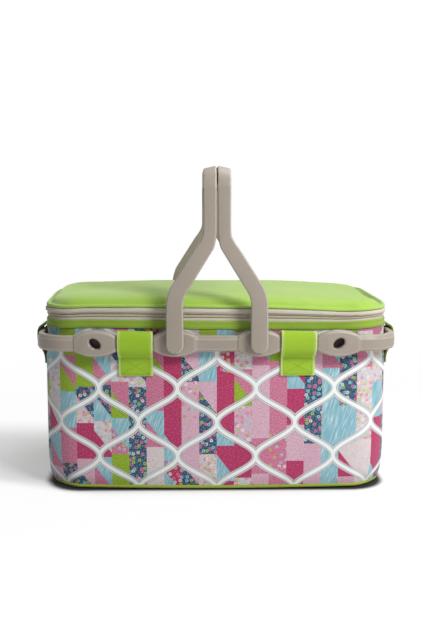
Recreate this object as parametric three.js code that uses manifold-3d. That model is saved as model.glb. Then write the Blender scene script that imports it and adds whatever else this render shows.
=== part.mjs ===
// An insulated picnic bag: a soft box with a zipped lid, hung in a plastic ring frame with two
// swing handles. Millimetres, +Z up, +X along the bag, the front at -Y, the floor at z = 0.
import * as THREE from 'three';
import { mergeVertices } from 'three/addons/utils/BufferGeometryUtils.js';
import Module from 'manifold-3d';

// Bag wall, measured over the printed cloth
const BODY_LENGTH = 436;
const BODY_DEPTH = 262;
const CORNER_RADIUS = 46;
const SIDE_BOW_RADIUS = 2400;
const RIM_HEIGHT = 218;
const BAND_HEIGHT = 10;

// Layers of the wall and the base
const CLOTH = 1.2;
const FOAM = 5;
const FOIL = 0.8;
const BASE_BOARD = 3.6;
const BASE_PIPING_RADIUS = 2.4;
const BASE_PIPING_PROUD = 1;
const SEAM = 0.3;

// Zip round the front and the ends, with a cloth hinge between its two ends at the back
const HINGE_LENGTH = 300;
const TAPE = 0.8;
const TAPE_TUCK = 2;
const TAPE_SHOWN = 4.6;
const UPPER_TAPE_SHOWN = 0.8;
const COIL_WIDTH = 1.6;
const COIL_DEPTH = 2.2;
const COIL_SPLIT = 1;

// Zip slider and its pull, parked on the right end
const SLIDER_Y = 60;
const SLIDER_LENGTH = 14;
const SLIDER_PLATE = 1.4;
const SLIDER_WEB = 0.4;
const SLIDER_WEB_LENGTH = 6;
const SLIDER_OVERLAP = 2.6;
const BRIDGE_SPAN = 9.8;
const BRIDGE_WIDTH = 2;
const BRIDGE_FOOT = 1.4;
const BRIDGE_BAR = 1.2;
const BRIDGE_RISE = 2.2;
const PULL_LENGTH = 24;
const PULL_WIDTH = 6.4;
const PULL_PLATE = 1.2;
const PULL_CROSSBAR = 1.4;
const PULL_WINDOW = 7;
const PULL_PLAY = 1;

// Lid
const LID_PIPING_RADIUS = 3;
const LID_PIPING_PROUD = 3.4;
const LID_RIM_RADIUS = 4;
const LID_RIM_PROUD = 2.2;
const LID_CROWN = 7;
const LID_CROWN_FLATNESS = 5;

// Ring frame: a bar with lens-shaped bosses, plugged together from segments
const BAR_HEIGHT = 20;
const BAR_THICKNESS = 8;
const BAR_TOP_CHAMFER = 5;
const BAR_TOP_SLANT = 2.2;
const BAR_LOW_CHAMFER = 3;
const BAR_LOW_SLANT = 1.5;
const FRAME_CORNER_RADIUS = 44;
const FRAME_SIDE_GAP = 6.3;
const FRAME_END_GAP = 2.5;
const FRAME_DROP = 26.5;
const BOSS_LENGTH = 52;
const BOSS_HEIGHT = 33;
const BOSS_THICKNESS = 10;
const BOSS_BEVEL = 1;
const BOSS_TO_CORNER = 7;
const BOSS_HOLE_STRETCH = 1.3;
const TONGUE_LENGTH = 8;
const TONGUE_HEIGHT = 12;
const TONGUE_THICKNESS = 4;

// Straps that hold the frame to the wall
const STRAP_THICKNESS = 2;
const STRAP_MARGIN = 2;
const STRAP_SLACK = 2.3;
const STRAP_TAIL = 33;
const END_STRAP_TAIL = 26;
const STRAP_FLARE = 9;

// Swing handles
const PIVOT_SPACING = 104.2;
const PIVOT_RADIUS = 4.7;
const PIVOT_PLAY = 0.3;
const CAP_RADIUS = 8.5;
const CAP_THICKNESS = 2;
const PIVOT_TIP = 0.5;
const LEG_CLEARANCE = 2.7;
const LEG_THICKNESS = 8;
const LEG_LOW_WIDTH = 21.8;
const LEG_BEND_WIDTH = 19.3;
const LEG_HIGH_WIDTH = 16.2;
const LEG_EDGE = 1.4;
const LOW_BEND_RISE = 60;
const HIGH_BEND_RISE = 129.4;
const BEND_LENGTH = 24;
const TAPER_LENGTH = 18;
const HANDLE_RISE = 218.8;
const GRIP_HEIGHT = 24;
const GRIP_SPLIT = 1.2;
const GRIP_ROOF = 3.5;
const SHOULDER_RADIUS = 28;
const ARMPIT_RADIUS = 14;

// Facet counts
const SIDE_STEPS = 4;
const CORNER_STEPS = 6;
const ROUND_STEPS = 10;
const BEND_STEPS = 4;
const LID_RIM_STEPS = 5;
const CROWN_RINGS = [0.15, 0.45, 0.68, 0.84, 0.94];

// Finishes
const GREEN_CLOTH = { color: 0xb4cb7c, roughness: 0.9, metalness: 0 };
const PRINTED_CLOTH = { color: 0xd9a9b4, roughness: 0.85, metalness: 0 };
const TAUPE_PLASTIC = { color: 0xa59d90, roughness: 0.45, metalness: 0 };
const TAUPE_CLOTH = { color: 0xc2bfae, roughness: 0.85, metalness: 0 };
const ZIP_COIL = { color: 0xa9a38c, roughness: 0.5, metalness: 0 };
const WHITE_FOAM = { color: 0xf0efe8, roughness: 0.95, metalness: 0 };
const SILVER_FOIL = { color: 0xc9ccd0, roughness: 0.25, metalness: 0.9 };
const GREY_BOARD = { color: 0x8d8a84, roughness: 0.8, metalness: 0 };
const SLIDER_METAL = { color: 0xb9b6ac, roughness: 0.35, metalness: 0.8 };

const { PI } = Math;
const wasm = await Module();
wasm.setup();

/** Volume enclosed by an indexed surface, negative where its faces point inwards. */
function signedVolume(points, index) {
  const cross = new THREE.Vector3();
  let sum = 0;
  for (let i = 0; i < index.length; i += 3) {
    cross.crossVectors(points[index[i + 1]], points[index[i + 2]]);
    sum += points[index[i]].dot(cross);
  }
  return sum / 6;
}

/** Closed surface through equal rings of points. An open loft is capped at its two convex ends. */
function loft(rings, { closed = false } = {}) {
  const count = rings[0].length;
  const points = rings.flat();
  const index = [];
  const spans = closed ? rings.length : rings.length - 1;
  for (let i = 0; i < spans; i++) {
    const near = i * count;
    const far = ((i + 1) % rings.length) * count;
    for (let j = 0; j < count; j++) {
      const next = (j + 1) % count;
      index.push(near + j, near + next, far + next);
      index.push(near + j, far + next, far + j);
    }
  }
  if (!closed) {
    const last = points.length - count;
    for (let j = 1; j < count - 1; j++) {
      index.push(0, j + 1, j);
      index.push(last, last + j, last + j + 1);
    }
  }
  if (signedVolume(points, index) < 0) index.reverse();
  return new THREE.BufferGeometry().setFromPoints(points).setIndex(index);
}

/** A geometry as a solid for joining and cutting. */
function solid(geometry) {
  const bare = geometry.clone();
  bare.deleteAttribute('normal');
  bare.deleteAttribute('uv');
  const merged = mergeVertices(bare, 1e-4);
  return new wasm.Manifold(new wasm.Mesh({
    numProp: 3,
    vertProperties: merged.getAttribute('position').array,
    triVerts: Uint32Array.from(merged.index.array),
  }));
}

/** A joined or cut solid as a geometry again. */
function surface(shape) {
  const { vertProperties, triVerts } = shape.getMesh();
  return new THREE.BufferGeometry()
    .setAttribute('position', new THREE.BufferAttribute(vertProperties, 3))
    .setIndex(new THREE.BufferAttribute(triVerts, 1));
}

/** Named mesh with its own material. */
function piece(name, geometry, finish) {
  const flat = geometry.index ? geometry.toNonIndexed() : geometry;
  flat.computeVertexNormals();
  const mesh = new THREE.Mesh(flat, new THREE.MeshStandardMaterial(finish));
  mesh.name = name;
  return mesh;
}

/** Box between two corners, each given as [x, y, z]. */
function block(low, high) {
  const size = high.map((value, i) => value - low[i]);
  const centre = high.map((value, i) => (value + low[i]) / 2);
  return new THREE.BoxGeometry(...size).translate(...centre);
}

/** A shape drawn in x and z, made into a slab from y = 0 towards the front. */
function slab(shape, thickness, bevel = 0) {
  const geometry = new THREE.ExtrudeGeometry(shape, {
    depth: thickness - 2 * bevel,
    bevelEnabled: bevel > 0,
    bevelThickness: bevel,
    bevelSize: bevel,
    bevelOffset: -bevel,
    bevelSegments: 1,
    curveSegments: ROUND_STEPS,
  });
  return geometry.translate(0, 0, bevel).rotateX(PI / 2);
}

/** Rectangle in a wall section: distances outwards from the printed cloth, and heights. */
function rectangle(inner, outer, low, high) {
  return [[inner, low], [outer, low], [outer, high], [inner, high]];
}

/** Circle in a wall section. */
function circle(outwards, height, radius) {
  return Array.from({ length: ROUND_STEPS }, (_, i) => {
    const turn = (2 * PI * i) / ROUND_STEPS;
    return [outwards + radius * Math.cos(turn), height + radius * Math.sin(turn)];
  });
}

// Plan of the bag: bowed long sides, round corners and straight ends
const halfLength = BODY_LENGTH / 2;
const halfDepth = BODY_DEPTH / 2;
const cornerX = halfLength - CORNER_RADIUS;
const bowCentreY = halfDepth - SIDE_BOW_RADIUS;
const cornerY = bowCentreY + Math.sqrt((SIDE_BOW_RADIUS - CORNER_RADIUS) ** 2 - cornerX ** 2);
const cornerTurn = Math.atan2(cornerX, cornerY - bowCentreY);

/** Distance from the bag's middle to the cloth of a long side, at a place along it. */
function sideDepth(x) {
  return bowCentreY + Math.sqrt(SIDE_BOW_RADIUS ** 2 - x ** 2);
}

/** A quarter of the plan, from the back side at backX to the start of the right end. */
function planQuarter(outwards, backX) {
  const points = [];
  const bow = SIDE_BOW_RADIUS + outwards;
  const corner = CORNER_RADIUS + outwards;
  const start = Math.asin(backX / SIDE_BOW_RADIUS);
  for (let i = 0; i <= SIDE_STEPS; i++) {
    const turn = start + ((cornerTurn - start) * i) / SIDE_STEPS;
    points.push(new THREE.Vector2(bow * Math.sin(turn), bowCentreY + bow * Math.cos(turn)));
  }
  for (let i = 1; i <= CORNER_STEPS; i++) {
    const turn = cornerTurn + ((PI / 2 - cornerTurn) * i) / CORNER_STEPS;
    points.push(new THREE.Vector2(cornerX + corner * Math.sin(turn), cornerY + corner * Math.cos(turn)));
  }
  return points;
}

/** The plan from the back round the right end, the front and the left end. Whole when backX is 0. */
function plan(outwards, backX = 0) {
  const backRight = planQuarter(outwards, backX);
  const frontRight = planQuarter(outwards, 0).map((p) => new THREE.Vector2(p.x, -p.y)).reverse();
  const right = [...backRight, ...frontRight];
  const left = right.map((p) => new THREE.Vector2(-p.x, p.y)).reverse();
  return [...right, ...left.slice(1, backX > 0 ? undefined : -1)];
}

/** A wall section carried round the plan, or round all of it but the hinge. */
function roundWall(section, backX = 0) {
  const tracks = section.map(([outwards]) => plan(outwards, backX));
  const rings = tracks[0].map((_, k) => section.map(
    ([, height], j) => new THREE.Vector3(tracks[j][k].x, tracks[j][k].y, height),
  ));
  return loft(rings, { closed: backX === 0 });
}

/** The whole plan at a height, drawn in towards the middle by a scale. */
function level(outwards, height, scale = 1) {
  return plan(outwards).map((p) => new THREE.Vector3(p.x * scale, p.y * scale, height));
}

// Heights in the base and the wall
const boardLow = CLOTH + SEAM;
const wallLow = Math.max(boardLow + BASE_BOARD, 2 * BASE_PIPING_RADIUS + SEAM) + SEAM;
const baseOutwards = BASE_PIPING_PROUD - 2 * BASE_PIPING_RADIUS - SEAM;
const foamOuter = -CLOTH - SEAM;
const foamInner = foamOuter - FOAM;
const foilOuter = foamInner - SEAM;
const foilInner = foilOuter - FOIL;
const floorFoamHigh = wallLow + FOAM;
const bandLow = RIM_HEIGHT - BAND_HEIGHT;
const tapeLow = RIM_HEIGHT - TAPE_TUCK;

// Heights in the zip and the lid
const coilLow = RIM_HEIGHT + TAPE_SHOWN + SEAM;
const splitLow = coilLow + COIL_WIDTH;
const splitHigh = splitLow + COIL_SPLIT;
const upperTapeLow = splitHigh + COIL_WIDTH + SEAM;
const hingeHeight = upperTapeLow + UPPER_TAPE_SHOWN;
const lidPipingZ = hingeHeight + SEAM + LID_PIPING_RADIUS;
const lidPipingOutwards = LID_PIPING_PROUD - LID_PIPING_RADIUS;
const paddingOutwards = lidPipingOutwards - LID_PIPING_RADIUS - SEAM;
const lidRimOutwards = LID_RIM_PROUD - LID_RIM_RADIUS;
const lidRimZ = lidPipingZ + LID_PIPING_RADIUS + SEAM + LID_RIM_RADIUS;
const coilOuter = COIL_DEPTH / 2 - TAPE / 2;
const hingeX = HINGE_LENGTH / 2;

/** Printed wall, its foam and foil, the base and the rim band. */
function bagWalls() {
  const walls = new THREE.Group();
  const shellHigh = tapeLow - SEAM;
  walls.add(piece('outer_wall', roundWall(rectangle(-CLOTH, 0, wallLow, shellHigh)), PRINTED_CLOTH));
  const foam = rectangle(foamInner, foamOuter, wallLow, tapeLow - SEAM);
  walls.add(piece('wall_foam', roundWall(foam), WHITE_FOAM));

  // One foil tub: floor, walls and a flange over the foam to the zip tape
  const tub = loft([
    level(foilOuter, floorFoamHigh + SEAM),
    level(foilOuter, tapeLow),
    level(-TAPE - SEAM, tapeLow),
    level(-TAPE - SEAM, tapeLow + FOIL),
    level(foilInner, tapeLow + FOIL),
    level(foilInner, floorFoamHigh + SEAM + FOIL),
  ]);
  walls.add(piece('foil_lining', tub, SILVER_FOIL));

  const floorFoam = loft([level(foilOuter, wallLow), level(foilOuter, floorFoamHigh)]);
  walls.add(piece('floor_foam', floorFoam, WHITE_FOAM));
  const board = loft([level(baseOutwards, boardLow), level(baseOutwards, wallLow - SEAM)]);
  walls.add(piece('base_board', board, GREY_BOARD));
  const panel = loft([level(baseOutwards, 0), level(baseOutwards, CLOTH)]);
  walls.add(piece('base_panel', panel, GREEN_CLOTH));
  const cord = circle(
    BASE_PIPING_PROUD - BASE_PIPING_RADIUS,
    wallLow - SEAM - BASE_PIPING_RADIUS,
    BASE_PIPING_RADIUS,
  );
  walls.add(piece('base_piping', roundWall(cord), GREEN_CLOTH));
  const band = rectangle(SEAM, SEAM + CLOTH, bandLow, RIM_HEIGHT);
  walls.add(piece('rim_band', roundWall(band), GREEN_CLOTH));
  return walls;
}

/** The half of the zip sewn to the wall, and the cloth hinge that closes the ring at the back. */
function lowerZip() {
  const zip = new THREE.Group();
  const tape = rectangle(-TAPE, 0, tapeLow, coilLow - SEAM);
  zip.add(piece('zip_tape_lower', roundWall(tape, hingeX), TAUPE_CLOTH));
  const coil = rectangle(coilOuter - COIL_DEPTH, coilOuter, coilLow, splitLow);
  zip.add(piece('zip_coil_lower', roundWall(coil, hingeX), ZIP_COIL));

  const hingeSection = rectangle(-TAPE, 0, tapeLow, hingeHeight - SEAM);
  const reach = Math.asin((hingeX - SEAM) / SIDE_BOW_RADIUS);
  const rings = [];
  for (let i = 0; i <= 2 * SIDE_STEPS; i++) {
    const turn = reach * (i / SIDE_STEPS - 1);
    rings.push(hingeSection.map(([outwards, height]) => new THREE.Vector3(
      (SIDE_BOW_RADIUS + outwards) * Math.sin(turn),
      bowCentreY + (SIDE_BOW_RADIUS + outwards) * Math.cos(turn),
      height,
    )));
  }
  zip.add(piece('lid_hinge_strip', loft(rings), GREEN_CLOTH));
  return zip;
}

/** Levels of the lid's top from its seam, round the rolled rim and up the crown to the middle. */
function lidTop(rimRadius) {
  const levels = [];
  for (let i = 0; i <= LID_RIM_STEPS; i++) {
    const turn = PI * (i / LID_RIM_STEPS - 0.5);
    const outwards = lidRimOutwards + rimRadius * Math.cos(turn);
    levels.push(level(outwards, lidRimZ + rimRadius * Math.sin(turn)));
  }
  for (const scale of [...CROWN_RINGS].reverse()) {
    const height = LID_CROWN * (1 - scale ** LID_CROWN_FLATNESS);
    levels.push(level(lidRimOutwards, lidRimZ + rimRadius + height, scale));
  }
  return levels;
}

/** Crowned cover, foam and foil of the lid, its piping, and the upper half of the zip. */
function lid() {
  const group = new THREE.Group();
  const underRadius = LID_RIM_RADIUS - CLOTH;
  const cover = loft([...lidTop(underRadius).reverse(), ...lidTop(LID_RIM_RADIUS)]);
  group.add(piece('lid_cover', cover, GREEN_CLOTH));

  const foilLow = upperTapeLow;
  const foamLow = foilLow + FOIL + SEAM;
  const padding = loft([
    level(paddingOutwards, foamLow),
    level(paddingOutwards, lidRimZ - underRadius + SEAM),
    ...lidTop(underRadius - SEAM),
  ]);
  group.add(piece('lid_foam', padding, WHITE_FOAM));
  const foil = loft([level(-TAPE - SEAM, foilLow), level(-TAPE - SEAM, foilLow + FOIL)]);
  group.add(piece('lid_lining', foil, SILVER_FOIL));
  const cord = circle(lidPipingOutwards, lidPipingZ, LID_PIPING_RADIUS);
  group.add(piece('lid_piping', roundWall(cord), TAUPE_CLOTH));

  const tape = rectangle(-TAPE, 0, upperTapeLow, hingeHeight);
  group.add(piece('zip_tape_upper', roundWall(tape, hingeX), TAUPE_CLOTH));
  const coil = rectangle(coilOuter - COIL_DEPTH, coilOuter, splitHigh, splitHigh + COIL_WIDTH);
  group.add(piece('zip_coil_upper', roundWall(coil, hingeX), ZIP_COIL));
  return group;
}

// Zip slider, in distances outwards from the right end's cloth
const sliderZ = (splitLow + splitHigh) / 2;
const plateInner = coilOuter + SEAM;
const plateOuter = plateInner + SLIDER_PLATE;
const innerPlateOuter = coilOuter - COIL_DEPTH - SEAM;
const bridgeInner = plateOuter + BRIDGE_RISE;

/** Slider: two plates joined by a web through the split, with a bridge for the pull. */
function zipSlider() {
  const half = SLIDER_LENGTH / 2;
  const plateHalf = COIL_SPLIT / 2 + COIL_WIDTH + SLIDER_OVERLAP - SEAM;
  const innerHalf = COIL_SPLIT / 2 + COIL_WIDTH;
  const webHalf = SLIDER_WEB_LENGTH / 2;
  const footStart = BRIDGE_SPAN / 2 - BRIDGE_FOOT;
  const foot = block(
    [plateOuter, footStart, -BRIDGE_WIDTH / 2],
    [bridgeInner, BRIDGE_SPAN / 2, BRIDGE_WIDTH / 2],
  );
  const highest = Math.min(plateHalf, hingeHeight - sliderZ);
  let body = solid(block([plateInner, -half, -plateHalf], [plateOuter, half, highest]));
  const joined = [
    block([innerPlateOuter - SLIDER_PLATE, -half, -innerHalf], [innerPlateOuter, half, innerHalf]),
    block([innerPlateOuter, -webHalf, -SLIDER_WEB / 2], [plateInner, webHalf, SLIDER_WEB / 2]),
    foot,
    foot.clone().rotateX(PI),
    block(
      [bridgeInner, -BRIDGE_SPAN / 2, -BRIDGE_WIDTH / 2],
      [bridgeInner + BRIDGE_BAR, BRIDGE_SPAN / 2, BRIDGE_WIDTH / 2],
    ),
  ];
  for (const part of joined) body = body.add(solid(part));
  const mesh = piece('zip_slider', surface(body), SLIDER_METAL);
  mesh.position.set(halfLength, SLIDER_Y, sliderZ);
  return mesh;
}

/** Pull: a plate with a window for the bridge, lying along the zip towards the back. */
function zipPull() {
  const tab = new THREE.Shape();
  const half = PULL_WIDTH / 2;
  const tipX = PULL_LENGTH - half;
  tab.moveTo(-PULL_CROSSBAR / 2, -half);
  tab.lineTo(tipX, -half);
  tab.absarc(tipX, 0, half, -PI / 2, PI / 2);
  tab.lineTo(-PULL_CROSSBAR / 2, half);
  const window = new THREE.Path();
  const windowHalf = BRIDGE_WIDTH / 2 + PULL_PLAY;
  window.moveTo(PULL_CROSSBAR / 2, -windowHalf);
  window.lineTo(PULL_CROSSBAR / 2 + PULL_WINDOW, -windowHalf);
  window.lineTo(PULL_CROSSBAR / 2 + PULL_WINDOW, windowHalf);
  window.lineTo(PULL_CROSSBAR / 2, windowHalf);
  tab.holes.push(window);
  const plate = slab(tab, PULL_PLATE).translate(0, PULL_PLATE / 2, 0).rotateZ(PI / 2);
  const mesh = piece('zip_pull', plate, SLIDER_METAL);
  mesh.position.set(halfLength + plateOuter + BRIDGE_RISE / 2, SLIDER_Y, sliderZ);
  return mesh;
}

// Ring frame, drawn for the front and the right bow, then turned round for the back and the left
const barZ = RIM_HEIGHT - FRAME_DROP;
const frameInnerY = halfDepth + FRAME_SIDE_GAP;
const frameInnerX = halfLength + FRAME_END_GAP;
const frameInnerRadius = FRAME_CORNER_RADIUS - BAR_THICKNESS;
const railEndX = frameInnerX - frameInnerRadius;
const pivotX = PIVOT_SPACING / 2;
const outerBossX = railEndX - BOSS_TO_CORNER - BOSS_LENGTH / 2;
const bossFaceY = frameInnerY + BOSS_THICKNESS;
const barSection = [
  [0, -BAR_HEIGHT / 2],
  [BAR_THICKNESS - BAR_LOW_SLANT, -BAR_HEIGHT / 2],
  [BAR_THICKNESS, BAR_LOW_CHAMFER - BAR_HEIGHT / 2],
  [BAR_THICKNESS, BAR_HEIGHT / 2 - BAR_TOP_CHAMFER],
  [BAR_THICKNESS - BAR_TOP_SLANT, BAR_HEIGHT / 2],
  [0, BAR_HEIGHT / 2],
];

/** Bar along stations, each a place on the inner face and the direction outwards from it. */
function bar(stations) {
  return loft(stations.map(({ x, y, outX, outY }) => barSection.map(
    ([outwards, height]) => new THREE.Vector3(x + outX * outwards, y + outY * outwards, barZ + height),
  )));
}

/** Straight stretch of the front rail. */
function railStations(fromX, toX) {
  return [fromX, toX].map((x) => ({ x, y: -frameInnerY, outX: 0, outY: -1 }));
}

/** The right bow, from the front rail round the end to the back rail. */
function bowStations(fromX, toX) {
  const stations = railStations(fromX, railEndX).slice(0, 1);
  for (const side of [-1, 1]) {
    const centreY = side * (frameInnerY - frameInnerRadius);
    for (let i = 0; i <= CORNER_STEPS; i++) {
      const share = i / CORNER_STEPS;
      const turn = (PI / 2) * (side < 0 ? share - 1 : share);
      const outX = Math.cos(turn);
      const outY = Math.sin(turn);
      stations.push({
        x: railEndX + frameInnerRadius * outX,
        y: centreY + frameInnerRadius * outY,
        outX,
        outY,
      });
    }
  }
  stations.push({ x: toX, y: frameInnerY, outX: 0, outY: 1 });
  return stations;
}

/** Lens-shaped boss outline, as tall as the bar at its two ends. */
function bossShape() {
  const shape = new THREE.Shape();
  const end = BOSS_LENGTH / 2;
  const low = BAR_HEIGHT / 2;
  const bulge = BOSS_HEIGHT - low;
  shape.moveTo(-end, -low);
  shape.quadraticCurveTo(0, -bulge, end, -low);
  shape.lineTo(end, low);
  shape.quadraticCurveTo(0, bulge, -end, low);
  return shape;
}

/** Eight-sided boss hole, a little wider than it is tall, round which the pivot runs clear. */
function bossHole() {
  const tall = PIVOT_RADIUS + PIVOT_PLAY;
  const wide = tall + BOSS_HOLE_STRETCH;
  const corners = [
    [wide, -tall / 2], [wide, tall / 2], [wide / 2, tall], [-wide / 2, tall],
    [-wide, tall / 2], [-wide, -tall / 2], [-wide / 2, -tall], [wide / 2, -tall],
  ];
  return new THREE.Shape(corners.map(([x, z]) => new THREE.Vector2(x, z)));
}

/** Tongue or socket between two segments, lying along x at the front. */
function tongueBlock(fromX, toX, clearance) {
  const middle = frameInnerY + BAR_THICKNESS / 2;
  const deep = TONGUE_THICKNESS / 2 + clearance;
  const tall = TONGUE_HEIGHT / 2 + clearance;
  return block([fromX, -middle - deep, barZ - tall], [toX, deep - middle, barZ + tall]);
}

/** One segment: a boss with its hole and socket, and the bar that runs on to the next boss. */
function frameSegment(bossX, stations, tongue) {
  const bossEnd = bossX - BOSS_LENGTH / 2;
  const boss = slab(bossShape(), BOSS_THICKNESS, BOSS_BEVEL).translate(bossX, -frameInnerY, barZ);
  const hole = slab(bossHole(), 3 * BOSS_THICKNESS).translate(bossX, BOSS_THICKNESS - frameInnerY, barZ);
  const socket = tongueBlock(bossEnd - TONGUE_LENGTH, bossEnd + TONGUE_LENGTH + SEAM, SEAM);
  const body = solid(boss).add(solid(bar(stations))).add(solid(tongue));
  return surface(body.subtract(solid(hole)).subtract(solid(socket)));
}

/** Straight segment from one boss to the next along the front rail. */
function railSegment(bossX, nextBossX) {
  const barEnd = nextBossX - BOSS_LENGTH / 2 - SEAM;
  const rootX = bossX + BOSS_LENGTH / 2 - BOSS_TO_CORNER;
  const tongue = tongueBlock(barEnd - TONGUE_LENGTH, barEnd + SEAM + TONGUE_LENGTH, 0);
  return frameSegment(bossX, railStations(rootX, barEnd), tongue);
}

/** Bow segment from the outer boss at the front, round the right end, to the back rail. */
function bowSegment() {
  const barEnd = outerBossX + BOSS_LENGTH / 2 + SEAM;
  const rootX = outerBossX + BOSS_LENGTH / 2 - BOSS_TO_CORNER;
  const tongue = tongueBlock(-barEnd - TONGUE_LENGTH, SEAM + TONGUE_LENGTH - barEnd, 0).rotateZ(PI);
  return frameSegment(outerBossX, bowStations(rootX, barEnd), tongue);
}

/** Half of the ring: three rail segments and a bow. */
function frameHalf(names) {
  const half = new THREE.Group();
  const geometries = [
    railSegment(-outerBossX, -pivotX),
    railSegment(-pivotX, pivotX),
    railSegment(pivotX, outerBossX),
    bowSegment(),
  ];
  geometries.forEach((geometry, i) => half.add(piece(`frame_${names[i]}`, geometry, TAUPE_PLASTIC)));
  return half;
}

// Straps fill the stretches of bar between the bosses
const strapSlot = outerBossX - pivotX - BOSS_LENGTH;
const strapWidth = strapSlot - 2 * STRAP_MARGIN;
const strapX = (outerBossX + pivotX) / 2;
const barLow = barZ - BAR_HEIGHT / 2;
const barHigh = barZ + BAR_HEIGHT / 2;

/** Section through a strap, as points of distance outwards and height. */
function sectionShape(points) {
  return new THREE.Shape(points.map(([outwards, height]) => new THREE.Vector2(outwards, height)));
}

/** A strap section drawn in distance outwards and height, made as wide as the strap about y = 0. */
function strapBand(shape) {
  return slab(shape, strapWidth).translate(0, strapWidth / 2, 0);
}

/** Side strap: folded over the bar and sewn to the wall below it. */
function sideStrap() {
  const wall = sideDepth(strapX - strapWidth / 2) + SEAM;
  const holeIn = frameInnerY - SEAM;
  const holeOut = frameInnerY + BAR_THICKNESS + SEAM;
  const holeLow = barLow - SEAM;
  const holeHigh = barHigh + STRAP_SLACK;
  const innerFace = holeIn - STRAP_THICKNESS;
  const outerFace = holeOut + STRAP_THICKNESS;
  const top = holeHigh + STRAP_THICKNESS;
  const low = barLow - STRAP_TAIL;
  const shape = sectionShape([
    [wall, low],
    [wall + STRAP_THICKNESS, low],
    [wall + STRAP_THICKNESS, holeLow - STRAP_FLARE],
    [outerFace, holeLow - STRAP_THICKNESS],
    [outerFace, holeHigh],
    [holeOut, top],
    [holeIn, top],
    [innerFace, holeHigh],
    [innerFace, holeLow - STRAP_THICKNESS],
    [wall, holeLow - STRAP_FLARE],
  ]);
  const hole = rectangle(holeIn, holeOut, holeLow, holeHigh);
  shape.holes.push(new THREE.Path(hole.map(([outwards, height]) => new THREE.Vector2(outwards, height))));
  return strapBand(shape).rotateZ(-PI / 2);
}

/** End strap: leaves the wall under the rim band, passes over the bar and is sewn down below it. */
function endStrap() {
  const wall = halfLength + SEAM;
  const outside = frameInnerX + BAR_THICKNESS + SEAM;
  const high = bandLow - SEAM;
  const low = barLow - END_STRAP_TAIL;
  const shape = sectionShape([
    [wall, low],
    [wall + STRAP_THICKNESS, low],
    [wall + STRAP_THICKNESS, barLow - STRAP_FLARE],
    [outside + STRAP_THICKNESS, barLow],
    [outside + STRAP_THICKNESS, barHigh],
    [outside, barHigh + STRAP_THICKNESS],
    [wall + STRAP_THICKNESS, high],
    [wall, high],
    [wall, high - STRAP_THICKNESS],
    [outside, barHigh + SEAM],
    [outside, barLow + SEAM],
    [wall, barLow - STRAP_FLARE + STRAP_THICKNESS],
  ]);
  return strapBand(shape);
}

/** The straps of the front and the right end. */
function strapHalf(sideNames, endNames) {
  const half = new THREE.Group();
  const endY = cornerY - strapWidth / 2;
  [-1, 1].forEach((way, i) => {
    const side = piece(`strap_${sideNames[i]}`, sideStrap(), GREEN_CLOTH);
    side.position.x = way * strapX;
    const end = piece(`strap_${endNames[i]}`, endStrap(), GREEN_CLOTH);
    end.position.y = way * endY;
    half.add(side, end);
  });
  return half;
}

/** All straps: two on each long side and two on each end. */
function straps() {
  const front = strapHalf(['front_left', 'front_right'], ['end_right_front', 'end_right_back']);
  const back = strapHalf(['back_right', 'back_left'], ['end_left_back', 'end_left_front']);
  back.rotation.z = PI;
  return new THREE.Group().add(front, back);
}

// Swing handles, drawn for the right one
const legInnerY = bossFaceY + LEG_CLEARANCE;
const legOuterY = legInnerY + LEG_THICKNESS;
const handleTop = barZ + HANDLE_RISE;
const gripLow = handleTop - GRIP_HEIGHT;
const gripX = (GRIP_SPLIT + LEG_HIGH_WIDTH) / 2;

/** Share of a bend that is done at a rise above its middle. */
function bendShare(rise) {
  return THREE.MathUtils.clamp(rise / BEND_LENGTH + 0.5, 0, 1);
}

/** Distance risen along a straight line with its start rounded over the bend length. */
function eased(rise) {
  return rise >= BEND_LENGTH / 2 ? rise : (BEND_LENGTH / 2) * bendShare(rise) ** 2;
}

/** Middle and half width of a leg at a height above the pivot. */
function legAt(rise) {
  const slope = (pivotX - gripX) / (HIGH_BEND_RISE - LOW_BEND_RISE);
  const middle = pivotX - slope * (eased(rise - LOW_BEND_RISE) - eased(rise - HIGH_BEND_RISE));
  const lean = slope * (bendShare(rise - LOW_BEND_RISE) - bendShare(rise - HIGH_BEND_RISE));
  const taperStart = HIGH_BEND_RISE - BEND_LENGTH / 2;
  const climb = THREE.MathUtils.clamp(rise / taperStart, 0, 1);
  const taper = THREE.MathUtils.clamp((rise - taperStart) / TAPER_LENGTH, 0, 1);
  const lowWidth = THREE.MathUtils.lerp(LEG_LOW_WIDTH, LEG_BEND_WIDTH, climb);
  const width = THREE.MathUtils.lerp(lowWidth, LEG_HIGH_WIDTH, taper);
  const belowPivot = Math.min(rise, 0);
  const round = Math.sqrt(Math.max((LEG_LOW_WIDTH / 2) ** 2 - belowPivot ** 2, LEG_EDGE ** 2));
  const half = rise < 0 ? round : (width / 2) * Math.hypot(1, lean);
  return { middle, half };
}

/** Section of a handle between an inner and an outer place, each given as distance and height. */
function handleRing(inner, outer) {
  const thickness = inner.distanceTo(outer);
  const corners = [
    [-1, LEG_EDGE / thickness], [-1, 1 - LEG_EDGE / thickness], [-1, 1], [1, 1],
    [1, 1 - LEG_EDGE / thickness], [1, LEG_EDGE / thickness], [1, 0], [-1, 0],
  ];
  return corners.map(([across, share]) => {
    const place = inner.clone().lerp(outer, share);
    const { middle, half } = legAt(place.y - barZ);
    const edge = share === 0 || share === 1 ? Math.min(LEG_EDGE, half / 2) : 0;
    const x = middle + across * (half - edge);
    const roof = THREE.MathUtils.clamp((place.y - gripLow) / GRIP_HEIGHT, 0, 1);
    const drop = GRIP_ROOF * roof * ((x - GRIP_SPLIT / 2) / LEG_HIGH_WIDTH);
    return new THREE.Vector3(x, -place.x, place.y - drop);
  });
}

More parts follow.
